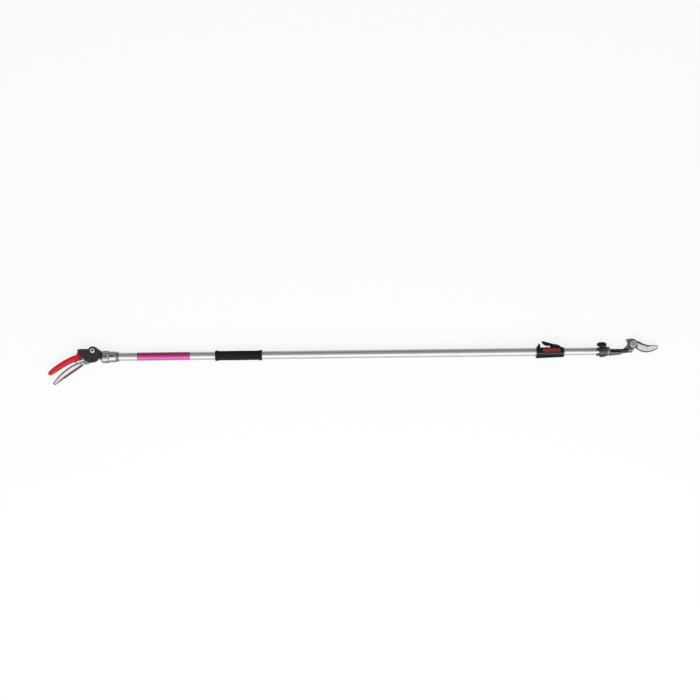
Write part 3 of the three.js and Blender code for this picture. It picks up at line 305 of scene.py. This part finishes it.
def polished_lever():
    """Alloy polished bright in its hollow sides, with painted shade on its outer edges and flanks, and grey
    at its root.
    """
    look = Look("polished_lever", (0.93, 0.93, 0.94), 0.34, 0.35)
    satin = look.grain(0.35 * MM, (12, 1, 1), 3)
    # Painted shade: the outer edges and steep flanks, away from the root, are painted near black.
    edges = look.compute("MAXIMUM", look.corners(7 * MM, True, 0.9, 0.78), look.sides(0.6, 0.9))
    root = look.ramp(look.along("X"), COVER_EDGE, COVER_EDGE + 12 * MM)
    rim_shade = look.compute("MULTIPLY", edges, look.ramp(root, 0, 1, 1, 0))
    look.tint(rim_shade, (0.055, 0.058, 0.062))
    look.tint(root, (0.30, 0.34, 0.34))
    look.gloss(rim_shade, 0.34, 0.46)
    return look.bump(satin, 0.006 * MM).made


def ground_steel(name, color, low, high, stretch, metallic=1.0):
    """Blade steel with surface-grinding lines and faint water marks."""
    look = Look(name, color, low, metallic)
    lines = look.grain(0.18 * MM, stretch, 3)
    marks = look.grain(7 * MM, detail=5)
    look.tint(look.ramp(marks, 0.5, 0.8), shade(color, 0.86))
    # Painted shade: the hollows are darkened.
    look.tint(look.corners(1.2 * MM, False), shade(color, 0.3))
    look.gloss(look.ramp(lines, 0.3, 0.7), low, high)
    return look.bump(lines, 0.01 * MM).made


def black_oxide():
    """Blackened steel, worn a little brighter on its edges."""
    look = Look("black_oxide", (0.020, 0.021, 0.022), 0.42, 0.6)
    skin = look.grain(0.5 * MM)
    look.tint(look.corners(0.5 * MM, True), (0.09, 0.09, 0.095))
    look.gloss(look.ramp(skin, 0.3, 0.7), 0.34, 0.5)
    return look.bump(skin, 0.01 * MM).made


def turned_steel(name, color):
    """Steel of the fasteners: smooth, with faint patches and painted shade in its hollows."""
    look = Look(name, color, 0.28, 1.0)
    patches = look.grain(2.5 * MM)
    look.tint(look.ramp(patches, 0.45, 0.8), shade(color, 0.84))
    # Painted shade: the hollows are darkened.
    look.tint(look.corners(1 * MM, False), shade(color, 0.16))
    look.gloss(look.ramp(patches, 0.3, 0.7), 0.22, 0.34)
    return look.bump(patches, 0.01 * MM).made


def hub_steel():
    """The pivot bolt's bright rim round a socket whose inside is painted near black as its shade."""
    look = Look("hub_steel", (0.70, 0.70, 0.71), 0.26, 1.0)
    turning = look.grain(0.3 * MM, (1, 1, 6))
    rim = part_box("pivot_bolt")[1].z - 1.2 * MM  # what lies below it is the inside of the socket
    # Painted shade: everything below the rim, the socket's inside, is painted near black.
    look.tint(look.below(rim), (0.008, 0.008, 0.008))
    look.gloss(look.ramp(turning, 0.3, 0.7), 0.22, 0.32)
    return look.bump(turning, 0.004 * MM).made


def dipped_vinyl(name, color, shade_tone):
    """Dipped vinyl: a soft gloss over a slightly uneven skin, with painted shade on its flanks and in
    folds, and a dark painted shadow at its root beside the covers."""
    look = Look(name, color, 0.38, Specular_IOR_Level=0.3)
    flow = look.grain(14 * MM, detail=3)
    skin = look.grain(1.6 * MM, detail=2)
    look.tint(look.ramp(flow, 0.35, 0.75), shade(color, 0.85))
    # Painted shade: the flanks turn toward the given shade colour.
    look.tint(look.sides(0.5, 0.99), shade_tone)
    # Painted shade: the folds and hollows darken further.
    look.tint(look.corners(5 * MM, False), shade(shade_tone, 0.3))
    # Painted shadow: the root beside the covers is darkened as the covers' shadow.
    cover_shadow = look.ramp(look.along("X"), COVER_EDGE - 11 * MM, COVER_EDGE - 4 * MM, 0, 0.75)
    look.tint(cover_shadow, (0.12, 0.022, 0.026))
    look.gloss(look.ramp(flow, 0.3, 0.7), 0.34, 0.46)
    return look.bump(skin, 0.05 * MM).bump(flow, 0.2 * MM).made


def moulded_black(name, color, shine):
    """Glass-filled black nylon with a fine spark-eroded grain and rubbed edges."""
    look = Look(name, color, 0.45, Specular_IOR_Level=shine)
    grain = look.grain(0.35 * MM, detail=2)
    patches = look.grain(12 * MM)
    look.tint(look.ramp(patches, 0.4, 0.8), shade(color, 1.35))
    look.tint(look.corners(0.7 * MM, True), shade(color, 3))
    look.gloss(look.ramp(patches, 0.3, 0.7), 0.4, 0.54)
    return look.bump(grain, 0.03 * MM).made


DEEP = (0.0035, 0.0055, 0.006)  # the deep black of the lock and the knob


def lock_moulding():
    """The lock's black moulding, with a painted grey sheen along the flat below its window."""
    look = Look("lock_moulding", DEEP, 0.45, Specular_IOR_Level=0.12)
    grain = look.grain(0.35 * MM, detail=2)
    sheen_noise = look.grain(5 * MM, (4, 1, 1), 3)
    upper = look.ramp(look.along("Y"), AXIS.y - 1.5 * MM, AXIS.y - 4 * MM)
    lower = look.ramp(look.along("Y"), AXIS.y - 10.5 * MM, AXIS.y - 7 * MM)
    sheen_band = look.ramp(sheen_noise, 0.2, 0.5, 0.7, 1.0)
    for mask in (upper, lower, look.ramp(look.sides(0.8, 0.97), 1, 0)):
        sheen_band = look.compute("MULTIPLY", sheen_band, mask)
    # Painted highlight: a grey sheen painted on the up-facing flat below the window.
    look.tint(sheen_band, (0.078, 0.064, 0.074))
    look.tint(look.corners(0.7 * MM, True), shade(DEEP, 3))
    look.gloss(sheen_band, 0.47, 0.4)
    return look.bump(grain, 0.03 * MM).made


def foam_rubber():
    """Black nitrile foam: a dull skin broken by small cells, and not quite even along its length."""
    look = Look("foam_rubber", (0.0055, 0.0080, 0.0105), 0.92, Specular_IOR_Level=0.2)
    cells = look.cells(1.1 * MM)
    swell = look.grain(16 * MM, (2, 1, 1), 2)
    look.tint(look.ramp(swell, 0.4, 0.8), (0.008, 0.011, 0.014))
    # Painted shade: the pits of the cells are darker than their walls.
    look.tint(look.ramp(cells, 0.35, 0.75), (0.011, 0.015, 0.018))
    look.gloss(look.ramp(cells, 0.2, 0.8), 0.98, 0.8)
    return look.bump(cells, 0.35 * MM).bump(swell, 0.5 * MM).made


def red_moulding():
    """Dark red moulded nylon of the lock's saddle."""
    look = Look("red_moulding", (0.23, 0.010, 0.016), 0.36, Specular_IOR_Level=0.35)
    grain = look.grain(0.5 * MM)
    # Painted shade: the hollows are darkened.
    look.tint(look.corners(3 * MM, False), (0.05, 0.003, 0.005))
    look.gloss(look.ramp(grain, 0.3, 0.7), 0.3, 0.44)
    return look.bump(grain, 0.02 * MM).made


def printed_film():
    """The bare film band: glossy, dark crimson on the grip's side going to a violet pink on the lever's,
    partly a printed hue and partly painted shade on the side away from the lamp, with a trace of ripple
    where it is stuck down."""
    look = Look("printed_film", (0.22, 0.008, 0.036), 0.24, Coat_Weight=0.5, Coat_Roughness=0.16)
    ripple = look.grain(6 * MM, (3, 1, 1), 2)
    # Partly print and partly painted shade: dark crimson on the grip's side, away from the lamp,
    # brightening to violet pink.
    look.tint(look.ramp(look.along("Y"), AXIS.y + 7 * MM, AXIS.y - 6 * MM), (0.62, 0.045, 0.34))
    look.gloss(look.ramp(ripple, 0.3, 0.7), 0.2, 0.32)
    return look.bump(ripple, 0.06 * MM).made


def natural_nylon():
    """Undyed nylon of the inner pieces, faintly mottled."""
    look = Look("natural_nylon", (0.74, 0.72, 0.64), 0.5)
    grain = look.grain(1.2 * MM)
    look.tint(look.ramp(grain, 0.4, 0.8), (0.68, 0.65, 0.56))
    look.gloss(look.ramp(grain, 0.3, 0.7), 0.42, 0.58)
    return look.bump(grain, 0.02 * MM).made


def slot_shade_black():
    """Dull black of the strips in the castings' slots: painted shade that stands in for the slots' shadowed
    insides.
    """
    look = Look("slot_shade_black", (0.009, 0.009, 0.009), 0.7, Specular_IOR_Level=0.3)
    grain = look.grain(0.4 * MM)
    look.gloss(look.ramp(grain, 0.3, 0.7), 0.6, 0.8)
    return look.bump(grain, 0.03 * MM).made


def wire_rope():
    """Stranded stainless wire: slanting strands round the rope."""
    look = Look("wire_rope", (0.50, 0.50, 0.51), 0.3, 1.0)
    strands = look.node("ShaderNodeTexWave", {"bands_direction": "DIAGONAL"}, Vector=look.place,
                        Scale=0.3 / (1.2 * MM)).outputs["Fac"]
    # Painted shade: the grooves between the strands are darkened.
    look.tint(look.ramp(strands, 0.4, 0.0), (0.10, 0.10, 0.11))
    look.gloss(strands, 0.42, 0.24)
    return look.bump(strands, 0.15 * MM).made


BRIGHT_CAST = die_cast("bright_cast", (0.44, 0.445, 0.45), 0.24, 0.36, 0.3)
RING_CAST = die_cast("ring_cast", (0.23, 0.235, 0.24), 0.3, 0.44, 0.3)
DULL_CAST = die_cast("dull_cast", (0.2, 0.205, 0.21), 0.34, 0.5, 0.4)
DARK_CAST = die_cast("dark_cast", (0.07, 0.072, 0.075), 0.32, 0.46, 0.7)
TUBE = anodised_tube()
LEVER = polished_lever()
BRIGHT_BLADE = ground_steel("bright_blade", (0.76, 0.76, 0.77), 0.28, 0.4, (1, 22, 1), 0.55)
DARK_BLADE = ground_steel("dark_blade", (0.12, 0.12, 0.125), 0.3, 0.44, (26, 1, 1))
HOOK_STEEL = ground_steel("hook_steel", (0.21, 0.21, 0.215), 0.28, 0.42, (26, 1, 1))
OXIDE = black_oxide()
STEEL = turned_steel("turned_steel", (0.50, 0.50, 0.51))
WASHER_STEEL = turned_steel("washer_steel", (0.66, 0.66, 0.67))
BOLT_STEEL = turned_steel("bolt_steel", (0.42, 0.42, 0.425))
HUB = hub_steel()
VINYL = dipped_vinyl("red_vinyl", (0.74, 0.006, 0.014), (0.26, 0.001, 0.002))
PAD_VINYL = dipped_vinyl("pad_vinyl", (0.30, 0.02, 0.03), (0.10, 0.008, 0.011))
BLACK = moulded_black("cover_black", (0.019, 0.020, 0.019), 0.22)
DEEP_BLACK = moulded_black("lock_black", DEEP, 0.12)
LOCK_BLACK = lock_moulding()
FOAM = foam_rubber()
RED = red_moulding()
FILM = printed_film()
NYLON = natural_nylon()
SLOT_SHADE = slot_shade_black()
WIRE = wire_rope()


# ---------------------------------------------------------------- meshes
def new_piece(name, points, faces, material, sharp=35):
    """A smooth-shaded mesh, with edges sharper than that many degrees kept crisp."""
    mesh = bpy.data.meshes.new(name)
    mesh.from_pydata([tuple(point) for point in points], [], faces)
    mesh.update()
    mesh.polygons.foreach_set("use_smooth", [True] * len(mesh.polygons))
    mesh.set_sharp_from_angle(angle=math.radians(sharp))
    mesh.materials.append(material)
    made = bpy.data.objects.new(name, mesh)
    bpy.context.scene.collection.objects.link(made)
    return made


def spoke(side, up, share):
    """The vector that lies that share of a full turn round from side toward up."""
    angle = 2 * math.pi * share
    return side * math.cos(angle) + up * math.sin(angle)


def turned(name, profile, centre, along, material, sides=96, swell=None):
    """A body turned about a line through centre, from a closed loop of (distance along, radius) points.
    swell(angle, index) scales the radius, for flutes."""
    along = Vector(along)
    side = along.orthogonal().normalized()
    up = along.cross(side)
    points, rings = [], []
    for index, (distance, radius) in enumerate(profile):
        count = sides if radius > 0 else 1
        first = len(points)
        for k in range(count):
            reach = radius * (swell(2 * math.pi * k / count, index) if swell else 1)
            points.append(centre + along * distance + spoke(side, up, k / count) * reach)
        rings.append([first + k % count for k in range(sides)])
    faces = []
    for first, second in zip(rings, rings[1:] + rings[:1]):
        for k in range(sides):
            after = (k + 1) % sides
            corners = dict.fromkeys([first[k], first[after], second[after], second[k]])
            if len(corners) > 2:
                faces.append(list(corners))
    return new_piece(name, points, faces, material)


def smooth_run(points, steps):
    """Points of a Catmull-Rom curve through the given ones, with that many steps to each span."""
    run = []
    ends = [points[0], *points, points[-1]]
    for knots in zip(ends, ends[1:], ends[2:], ends[3:]):
        for k in range(steps):
            t = k / steps
            weights = (-t + 2 * t ** 2 - t ** 3, 2 - 5 * t ** 2 + 3 * t ** 3,
                       t + 4 * t ** 2 - 3 * t ** 3, t ** 3 - t ** 2)
            run.append([0.5 * sum(weight * value for weight, value in zip(weights, values))
                        for values in zip(*knots)])
    return [*run, points[-1]]


def bands(rings, sides):
    """The faces between each ring of points and the next, for rings that follow each other in a list."""
    faces = []
    for ring in range(rings - 1):
        for k in range(sides):
            a, b = ring * sides + k, ring * sides + (k + 1) % sides
            faces.append([a, b, b + sides, a + sides])
    return faces


def closed_stack(rings, sides):
    """The faces of a stack of rings that is closed at both ends."""
    last = (rings - 1) * sides
    ends = [list(range(sides))[::-1], list(range(last, last + sides))]
    return bands(rings, sides) + ends


def swept(name, path, radius, material, sides=10):
    """A round wire along a path, closed at both ends."""
    path = [Vector(point) for point in path]
    points = []
    side = None
    for place, before, after in zip(path, path[:1] + path, path[1:] + path[-1:]):
        along = (after - before).normalized()
        side = along.orthogonal() if side is None else side - along * side.dot(along)
        side.normalize()
        up = along.cross(side)
        points += [place + spoke(side, up, k / sides) * radius for k in range(sides)]
    return new_piece(name, points, closed_stack(len(path), sides), material, 60)


def coil_path(start, end, radius, turns, wire, steps=20):
    """A helix between two points whose first and last turns lie close, as on a closed-end spring.
    wire is the wire's radius."""
    axis = (end - start).normalized()
    side = axis.orthogonal().normalized()
    up = axis.cross(side)
    closed_rise = 2 * wire
    pitch = ((end - start).length - 2 * closed_rise) / (turns - 2)
    path = []
    for k in range(int(turns * steps) + 1):
        turn = k / steps
        free = min(max(turn - 1, 0), turns - 2)
        height = free * pitch + (turn - free) * closed_rise
        path.append(start + axis * height + spoke(side, up, turn) * radius)
    return path


WELD = 0.002 * MM  # points of a CAD node that lie closer than this are one point


def apply_modifiers(made):
    """Turns an object's modifiers into its mesh."""
    shape = bpy.data.meshes.new_from_object(made.evaluated_get(bpy.context.evaluated_depsgraph_get()))
    made.modifiers.clear()
    made.vertex_groups.clear()
    made.data = shape


def add_body(mesh, points, faces):
    """Adds a closed body to a mesh."""
    shape = bmesh.new()
    shape.from_mesh(mesh)
    corners = [shape.verts.new(point) for point in points]
    for face in faces:
        shape.faces.new([corners[index] for index in face])
    bmesh.ops.recalc_face_normals(shape, faces=shape.faces)
    shape.to_mesh(mesh)
    shape.free()


def settled(name, node, voxel, rounds, material, softness=None, added=None):
    """A soft copy of a CAD node: its corners flow into each other as in a dipped or cast skin.
    softness(point) is how freely the skin flows there, from 0 to 1, and added holds the points and
    faces of a body that grows together with it."""
    made = bpy.data.objects.new(name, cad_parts[node].data.copy())
    bpy.context.scene.collection.objects.link(made)
    if added:
        add_body(made.data, *added)
    weld = made.modifiers.new("weld", "WELD")
    weld.merge_threshold = WELD
    remesh = made.modifiers.new("voxels", "REMESH")
    remesh.mode = "VOXEL"
    remesh.voxel_size = voxel
    apply_modifiers(made)
    smooth = made.modifiers.new("smooth", "SMOOTH")
    smooth.factor = 0.5
    smooth.iterations = rounds
    if softness:
        group = made.vertex_groups.new(name="softness")
        for vertex in made.data.vertices:
            group.add([vertex.index], softness(vertex.co), "REPLACE")
        smooth.vertex_group = group.name
    apply_modifiers(made)
    made.data.name = name
    made.data.materials.clear()
    made.data.materials.append(material)
    made.data.polygons.foreach_set("use_smooth", [True] * len(made.data.polygons))
    return made


def soften(name, material, width):
    """Keeps a CAD node, with a fine rounding on its edges and its own material."""
    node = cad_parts[name]
    mesh = node.data
    for layer in ("custom_normal", "sharp_edge"):
        if layer in mesh.attributes:
            mesh.attributes.remove(mesh.attributes[layer])
    mesh.polygons.foreach_set("use_smooth", [True] * len(mesh.polygons))
    mesh.materials.clear()
    mesh.materials.append(material)
    weld = node.modifiers.new("weld", "WELD")
    weld.merge_threshold = WELD
    bevel = node.modifiers.new("edges", "BEVEL")
    bevel.width = width
    bevel.segments = 2
    bevel.limit_method = "ANGLE"
    bevel.angle_limit = math.radians(30)
    normals = node.modifiers.new("normals", "WEIGHTED_NORMAL")
    normals.keep_sharp = True


# ---------------------------------------------------------------- pole
ALONG_POLE = Vector((1, 0, 0))
TUBE_WALL = 0.8 * MM
FILM_DEPTH = 0.3 * MM


def on_pole(node):
    """The low end's middle, the length and the outer radius of a CAD node that is round about the pole."""
    low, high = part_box(node)
    return Vector((low.x, AXIS.y, AXIS.z)), high.x - low.x, (high.y - low.y) / 2


def tube_skin(name, node, body):
    """A round tube with a small chamfer on each end."""
    start, length, radius = on_pole(node)
    edge = 0.25 * MM
    bore = radius - TUBE_WALL
    loop = [(0, bore), (0, radius - edge), (edge, radius), (length - edge, radius),
            (length, radius - edge), (length, bore)]
    made = turned(name, loop, start, ALONG_POLE, TUBE)
    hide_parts(node)
    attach(made, body)


def film_band():
    """The bare band of printed film round the outer tube."""
    start, length, radius = on_pole("label_band")
    bore = radius - FILM_DEPTH
    loop = [(0, bore), (0, radius), (length, radius), (length, bore)]
    made = turned("film_band", loop, start, ALONG_POLE, FILM)
    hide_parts("label_band")
    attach(made, "handle")


def foam_sleeve():
    """The foam grip: a soft tube with a rolled ring at the handles' end and a flared, cupped one at the
    other."""
    start, length, flare = on_pole("foam_grip")
    body = flare - 1.8 * MM
    bore = body - 1.9 * MM
    knots = [(0, bore + 0.3 * MM), (0.2 * MM, body), (2.2 * MM, flare - 0.3 * MM), (5 * MM, flare),
             (9 * MM, flare - 0.6 * MM), (13 * MM, body), (20 * MM, body - 0.1 * MM),
             (length / 2, body + 0.1 * MM), (length - 20 * MM, body - 0.1 * MM), (length - 13 * MM, body),
             (length - 8 * MM, flare - 0.7 * MM), (length - 3 * MM, flare),
             (length - 0.6 * MM, flare - 0.3 * MM), (length - 0.2 * MM, flare - 1.2 * MM),
             (length - 2 * MM, body - 0.6 * MM), (length - 3 * MM, bore)]
    loop = smooth_run(knots, 6) + [(1 * MM, bore)]
    made = turned("foam_sleeve", loop, start, ALONG_POLE, FOAM)
    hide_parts("foam_grip")
    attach(made, "handle")


# ---------------------------------------------------------------- handles
GRIP_AXES = (Vector((0.78, 0.626, 0)).normalized(),  # from the fixed grip's tip inward
             Vector((-0.626, 0.78, 0)).normalized(),  # across it
             Vector((0, 0, 1)))
MOUTH_WALL = 1 * MM  # the wall of the grip sleeve's open end
MOUTH_SIDES = 48
FIRM_RIM = 0.6 * MM  # how far in from its tip the sleeve's softness starts to grow from nothing
SOFTENING = 5 * MM  # the further length over which it grows to 1
RIM_SOFTNESS = 0.3  # the least softness of all, at the rim


def sleeve_section(places, first, last):
    """The middle of the sleeve and its two half widths, between two distances up the grip's axis."""
    near = [place for place in places if first < place[0] < last]
    spans = [(min(values), max(values)) for values in zip(*near)]
    middle = sum((axis * (low + high) / 2 for axis, (low, high) in zip(GRIP_AXES, spans)), Vector())
    return middle, [(high - low) / 2 for low, high in spans[1:]]


def mouth_ring(places, tip):
    """Points and faces of an oval ring that gives the sleeve's mouth its full wall. It ends at the tip
    and about 7 mm up from it, and its outside lies within the sleeve's own outline there."""
    outer_end = sleeve_section(places, tip - 1 * MM, tip + 1 * MM)
    inner_end = sleeve_section(places, tip + 5 * MM, tip + 9 * MM)
    points = []
    for (middle, (wide, tall)), wall in ((outer_end, 0), (inner_end, 0), (inner_end, MOUTH_WALL),
                                         (outer_end, MOUTH_WALL)):
        side, up = GRIP_AXES[1] * (wide - wall), GRIP_AXES[2] * (tall - wall)
        points += [middle + spoke(side, up, k / MOUTH_SIDES) for k in range(MOUTH_SIDES)]
    # The fifth ring is the first one again.
    faces = [[index % len(points) for index in face] for face in bands(5, MOUTH_SIDES)]
    return points, faces


def vinyl_grips():
    """The red skins of the fixed grip, whose rim stays firm, and of the lever."""
    points = [vertex.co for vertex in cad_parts["grip_sleeve"].data.vertices]
    places = [[point.dot(axis) for axis in GRIP_AXES] for point in points]
    tip = min(places)[0]

    def softness(point):
        inward = point.dot(GRIP_AXES[0]) - tip
        return min(1, max(RIM_SOFTNESS, (inward - FIRM_RIM) / SOFTENING))

    grip = settled("grip_vinyl", "grip_sleeve", 0.6 * MM, 20, VINYL, softness, mouth_ring(places, tip))
    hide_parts("grip_sleeve")
    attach(grip, "handle")
    pad = settled("finger_vinyl", "finger_pad", 0.5 * MM, 3, PAD_VINYL)
    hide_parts("finger_pad")
    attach(pad, "squeeze_lever")


STRIP_HALF = 2.2 * MM  # half the strips' width, and the radius of their round ends
STRIP_ASIDE = 2.6 * MM  # from the pole's axis toward the fixed grip's side
STRIP_EDGE = 0.3 * MM
STRIP_STEPS = 12  # of each round end


def slot_shade_strip(name, start, end, low_z, high_z):
    """A black strip with round ends, seated in the slot of a casting's side: painted shade, standing in for
    the slot's shadowed inside. start and end are how far it stops short of the tube collar's two ends,
    low_z and high_z its bottom and top from the pole's axis."""
    low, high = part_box("tube_collar")
    left, right = low.x + start + STRIP_HALF, high.x - end - STRIP_HALF
    centre = Vector(((left + right) / 2, AXIS.y + STRIP_ASIDE, 0))
    outline = []
    for x, turn in ((right, -0.25), (left, 0.25)):
        for k in range(STRIP_STEPS + 1):
            out = spoke(Vector((1, 0, 0)), Vector((0, 1, 0)), turn + k / STRIP_STEPS / 2)
            outline.append(Vector((x, centre.y, 0)) + out * STRIP_HALF)
    points = []
    for z, inset in ((low_z, 0), (high_z - STRIP_EDGE, 0), (high_z, STRIP_EDGE)):
        for point in outline:
            inward = (centre - point).normalized() * inset
            points.append(point + inward + Vector((0, 0, AXIS.z + z)))
    made = new_piece(name, points, closed_stack(3, len(outline)), SLOT_SHADE)
    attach(made, "handle")


# ---------------------------------------------------------------- springs and wire
def coil_spring(name, node, axis, wire, turns, material):
    """A coil spring that fills its CAD node's box along that axis, 0 for X or 1 for Y, and its two
    ends. wire is the wire's radius."""
    low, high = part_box(node)
    start, end = node_middle(node), node_middle(node)
    start[axis] = low[axis] + wire
    end[axis] = high[axis] - wire
    radius = (high[1 - axis] - low[1 - axis]) / 2 - wire
    return swept(name, coil_path(start, end, radius, turns, wire), wire, material), start, end


def springs():
    """The blades' return spring and the lock's spring, as coils that fill their CAD nodes' boxes."""
    coil, start, end = coil_spring("return_coil", "return_spring", 0, 0.75 * MM, 25, OXIDE)
    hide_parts("return_spring")
    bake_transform(coil)
    coil, start, end = coil_spring("lock_coil", "lock_spring", 1, 0.3 * MM, 3.5, STEEL)
    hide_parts("lock_spring")
    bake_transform(coil)


WIRE_RADIUS = 0.75 * MM
BEND_SHARE = 0.8  # of the way out to its fitting's line, where the wire stands past the swivel ring


def wires():
    """The pull wire in three runs: from the reel through the fairlead, along the pole to the swivel ring,
    and on to its end.
    """
    seat = node_middle("wire_end")
    seat.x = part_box("wire_end")[0].x + 1 * MM
    reel = node_middle("wire_winding")
    reel.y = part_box("wire_winding")[0].y + WIRE_RADIUS
    reel.z = AXIS.z - 1 * MM
    lead_low, lead_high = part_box("wire_fairlead")
    ring_low, ring_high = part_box("swivel_ring")
    mouth = Vector((lead_low.x, AXIS.y, AXIS.z))
    exit_point = Vector((lead_high.x, AXIS.y, AXIS.z))
    ring = Vector((ring_low.x, AXIS.y, AXIS.z))

    slack = (reel + mouth) / 2 - Vector((0, 2 * MM, 0))
    first_run = smooth_run([reel, slack, mouth, exit_point], 8)
    first = swept("wire_from_reel", first_run, WIRE_RADIUS, WIRE)
    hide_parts("pull_wire")
    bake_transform(first)

    steps = 60
    second_run = [exit_point.lerp(ring, k / steps) for k in range(steps + 1)]
    second = swept("wire_in_pole", second_run, WIRE_RADIUS, WIRE)
    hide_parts("pull_wire")
    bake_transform(second)

    bend = AXIS.lerp(seat, BEND_SHARE)
    bend.x = ring_high.x + 4 * MM
    third_run = smooth_run([ring, bend, seat.lerp(bend, 0.5), seat], 12)
    third = swept("wire_in_head", third_run, WIRE_RADIUS, WIRE)
    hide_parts("pull_wire")
    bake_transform(third)


def wire_turns():
    """The wire wound on its reel, as a ring with a ridge for each turn."""
    low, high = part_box("wire_winding")
    outer = (high.y - low.y) / 2
    inner = outer - 3 * MM
    depth = high.z - low.z
    turns, steps = 3, 8
    crest = depth / turns / 2
    loop = [(-depth / 2, inner)]
    for k in range(turns):
        middle = -depth / 2 + crest * (2 * k + 1)
        for step in range(steps + 1):
            angle = math.pi * (1 - step / steps)
            loop.append((middle + crest * math.cos(angle), outer - crest + crest * math.sin(angle)))
    loop.append((depth / 2, inner))
    made = turned("wire_turns", loop, node_middle("wire_winding"), (0, 0, 1), WIRE)
    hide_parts("wire_winding")
    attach(made, "reel")


# ---------------------------------------------------------------- head clamp's knob
FLUTES = 8
FLUTE_DEPTH = 0.085  # a share of the knob's radius
FLUTE_END = 0.35  # the share of the radius at which the flutes have run out, over the crown
FLUTE_RUN_OUT = 0.45  # the further share over which they fade


def knob_cap():
    """A squat fluted cap with a blind bore for its stud."""
    low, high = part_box("clamp_knob")
    centre = node_middle("clamp_knob")
    centre.y = low.y
    radius = (high.x - low.x) / 2
    height = high.y - low.y
    bore, bore_end = 3.3 * MM, height - 4 * MM
    outside = [(0, radius - 1.9 * MM), (0.6 * MM, radius - 1.1 * MM), (3.2 * MM, radius - 0.2 * MM),
               (5.4 * MM, radius), (8.2 * MM, radius - 0.6 * MM), (11 * MM, radius - 3 * MM),
               (height - 0.9 * MM, radius - 6.4 * MM), (height - 0.1 * MM, 2.5 * MM), (height, 0.5 * MM)]
    run = smooth_run(outside, 5)
    loop = [(0, bore), *run, (height, 0), (bore_end, 0), (bore_end, bore)]

    def flutes(angle, index):
        if not 0 < index <= len(run):
            return 1
        fade = min(1, max(0, run[index - 1][1] / radius - FLUTE_END) / FLUTE_RUN_OUT)
        return 1 - FLUTE_DEPTH * fade * max(0, math.cos(FLUTES * angle)) ** 1.4

    made = turned("knob_cap", loop, centre, (0, 1, 0), DEEP_BLACK, 128, flutes)
    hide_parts("clamp_knob")
    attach(made, "knob")


# ---------------------------------------------------------------- the scene
# The CAD nodes that stay in view, with their materials.
KEPT = {
    "handle_body": BRIGHT_CAST, "tube_collar": BRIGHT_CAST, "collar_ring": RING_CAST,
    "front_cover": BLACK, "rear_cover": BLACK, "pivot_bolt": HUB, "pivot_nut": OXIDE,
    "cover_screw_1": OXIDE, "cover_screw_2": OXIDE, "cover_screw_3": OXIDE, "wire_fairlead": NYLON,
    "trigger_lever": LEVER, "wire_reel": NYLON, "reel_pin": STEEL, "take_up_spring": OXIDE,
    "reel_brake": BLACK, "brake_pin": STEEL, "lock_housing": LOCK_BLACK, "lock_saddle": RED,
    "lock_lever": DEEP_BLACK, "lock_pin": OXIDE, "lock_link_pin": OXIDE, "inner_tube_plug": NYLON,
    "head_clamp": DARK_CAST, "clamp_stud": STEEL, "swivel_ring": RING_CAST, "head_arm": DULL_CAST,
    "hook_blade": HOOK_STEEL, "cutting_blade": DARK_BLADE, "holding_plate": BRIGHT_BLADE,
    "holder_rivet_1": BRIGHT_BLADE, "holder_rivet_2": BRIGHT_BLADE, "foot_rivet_1": OXIDE,
    "foot_rivet_2": OXIDE, "blade_washer": WASHER_STEEL, "blade_bolt": BOLT_STEEL, "blade_nut": OXIDE,
    "tail_pin": STEEL, "wire_end": STEEL,
}
# The thin ones of them, whose edges are rounded less.
THIN = {"take_up_spring", "holding_plate", "blade_washer", "cutting_blade", "hook_blade"}
EDGE_WIDTH = 0.3 * MM
THIN_EDGE_WIDTH = 0.12 * MM

camera()
studio()
vinyl_grips()
tube_skin("outer_pole", "outer_tube", "handle")
tube_skin("inner_pole_tube", "inner_tube", "inner_pole")
film_band()
foam_sleeve()
# Painted shade: black strips in the slots of the socket and the collar.
slot_shade_strip("socket_slot_shade", -21 * MM, 24 * MM, 15.6 * MM, 17.2 * MM)
slot_shade_strip("collar_slot_shade", 2.1 * MM, 4.6 * MM, 12.7 * MM, 15.4 * MM)
springs()
wires()
wire_turns()
knob_cap()
for node_name, material in KEPT.items():
    soften(node_name, material, THIN_EDGE_WIDTH if node_name in THIN else EDGE_WIDTH)

bpy.context.scene.view_settings.view_transform = "Standard"
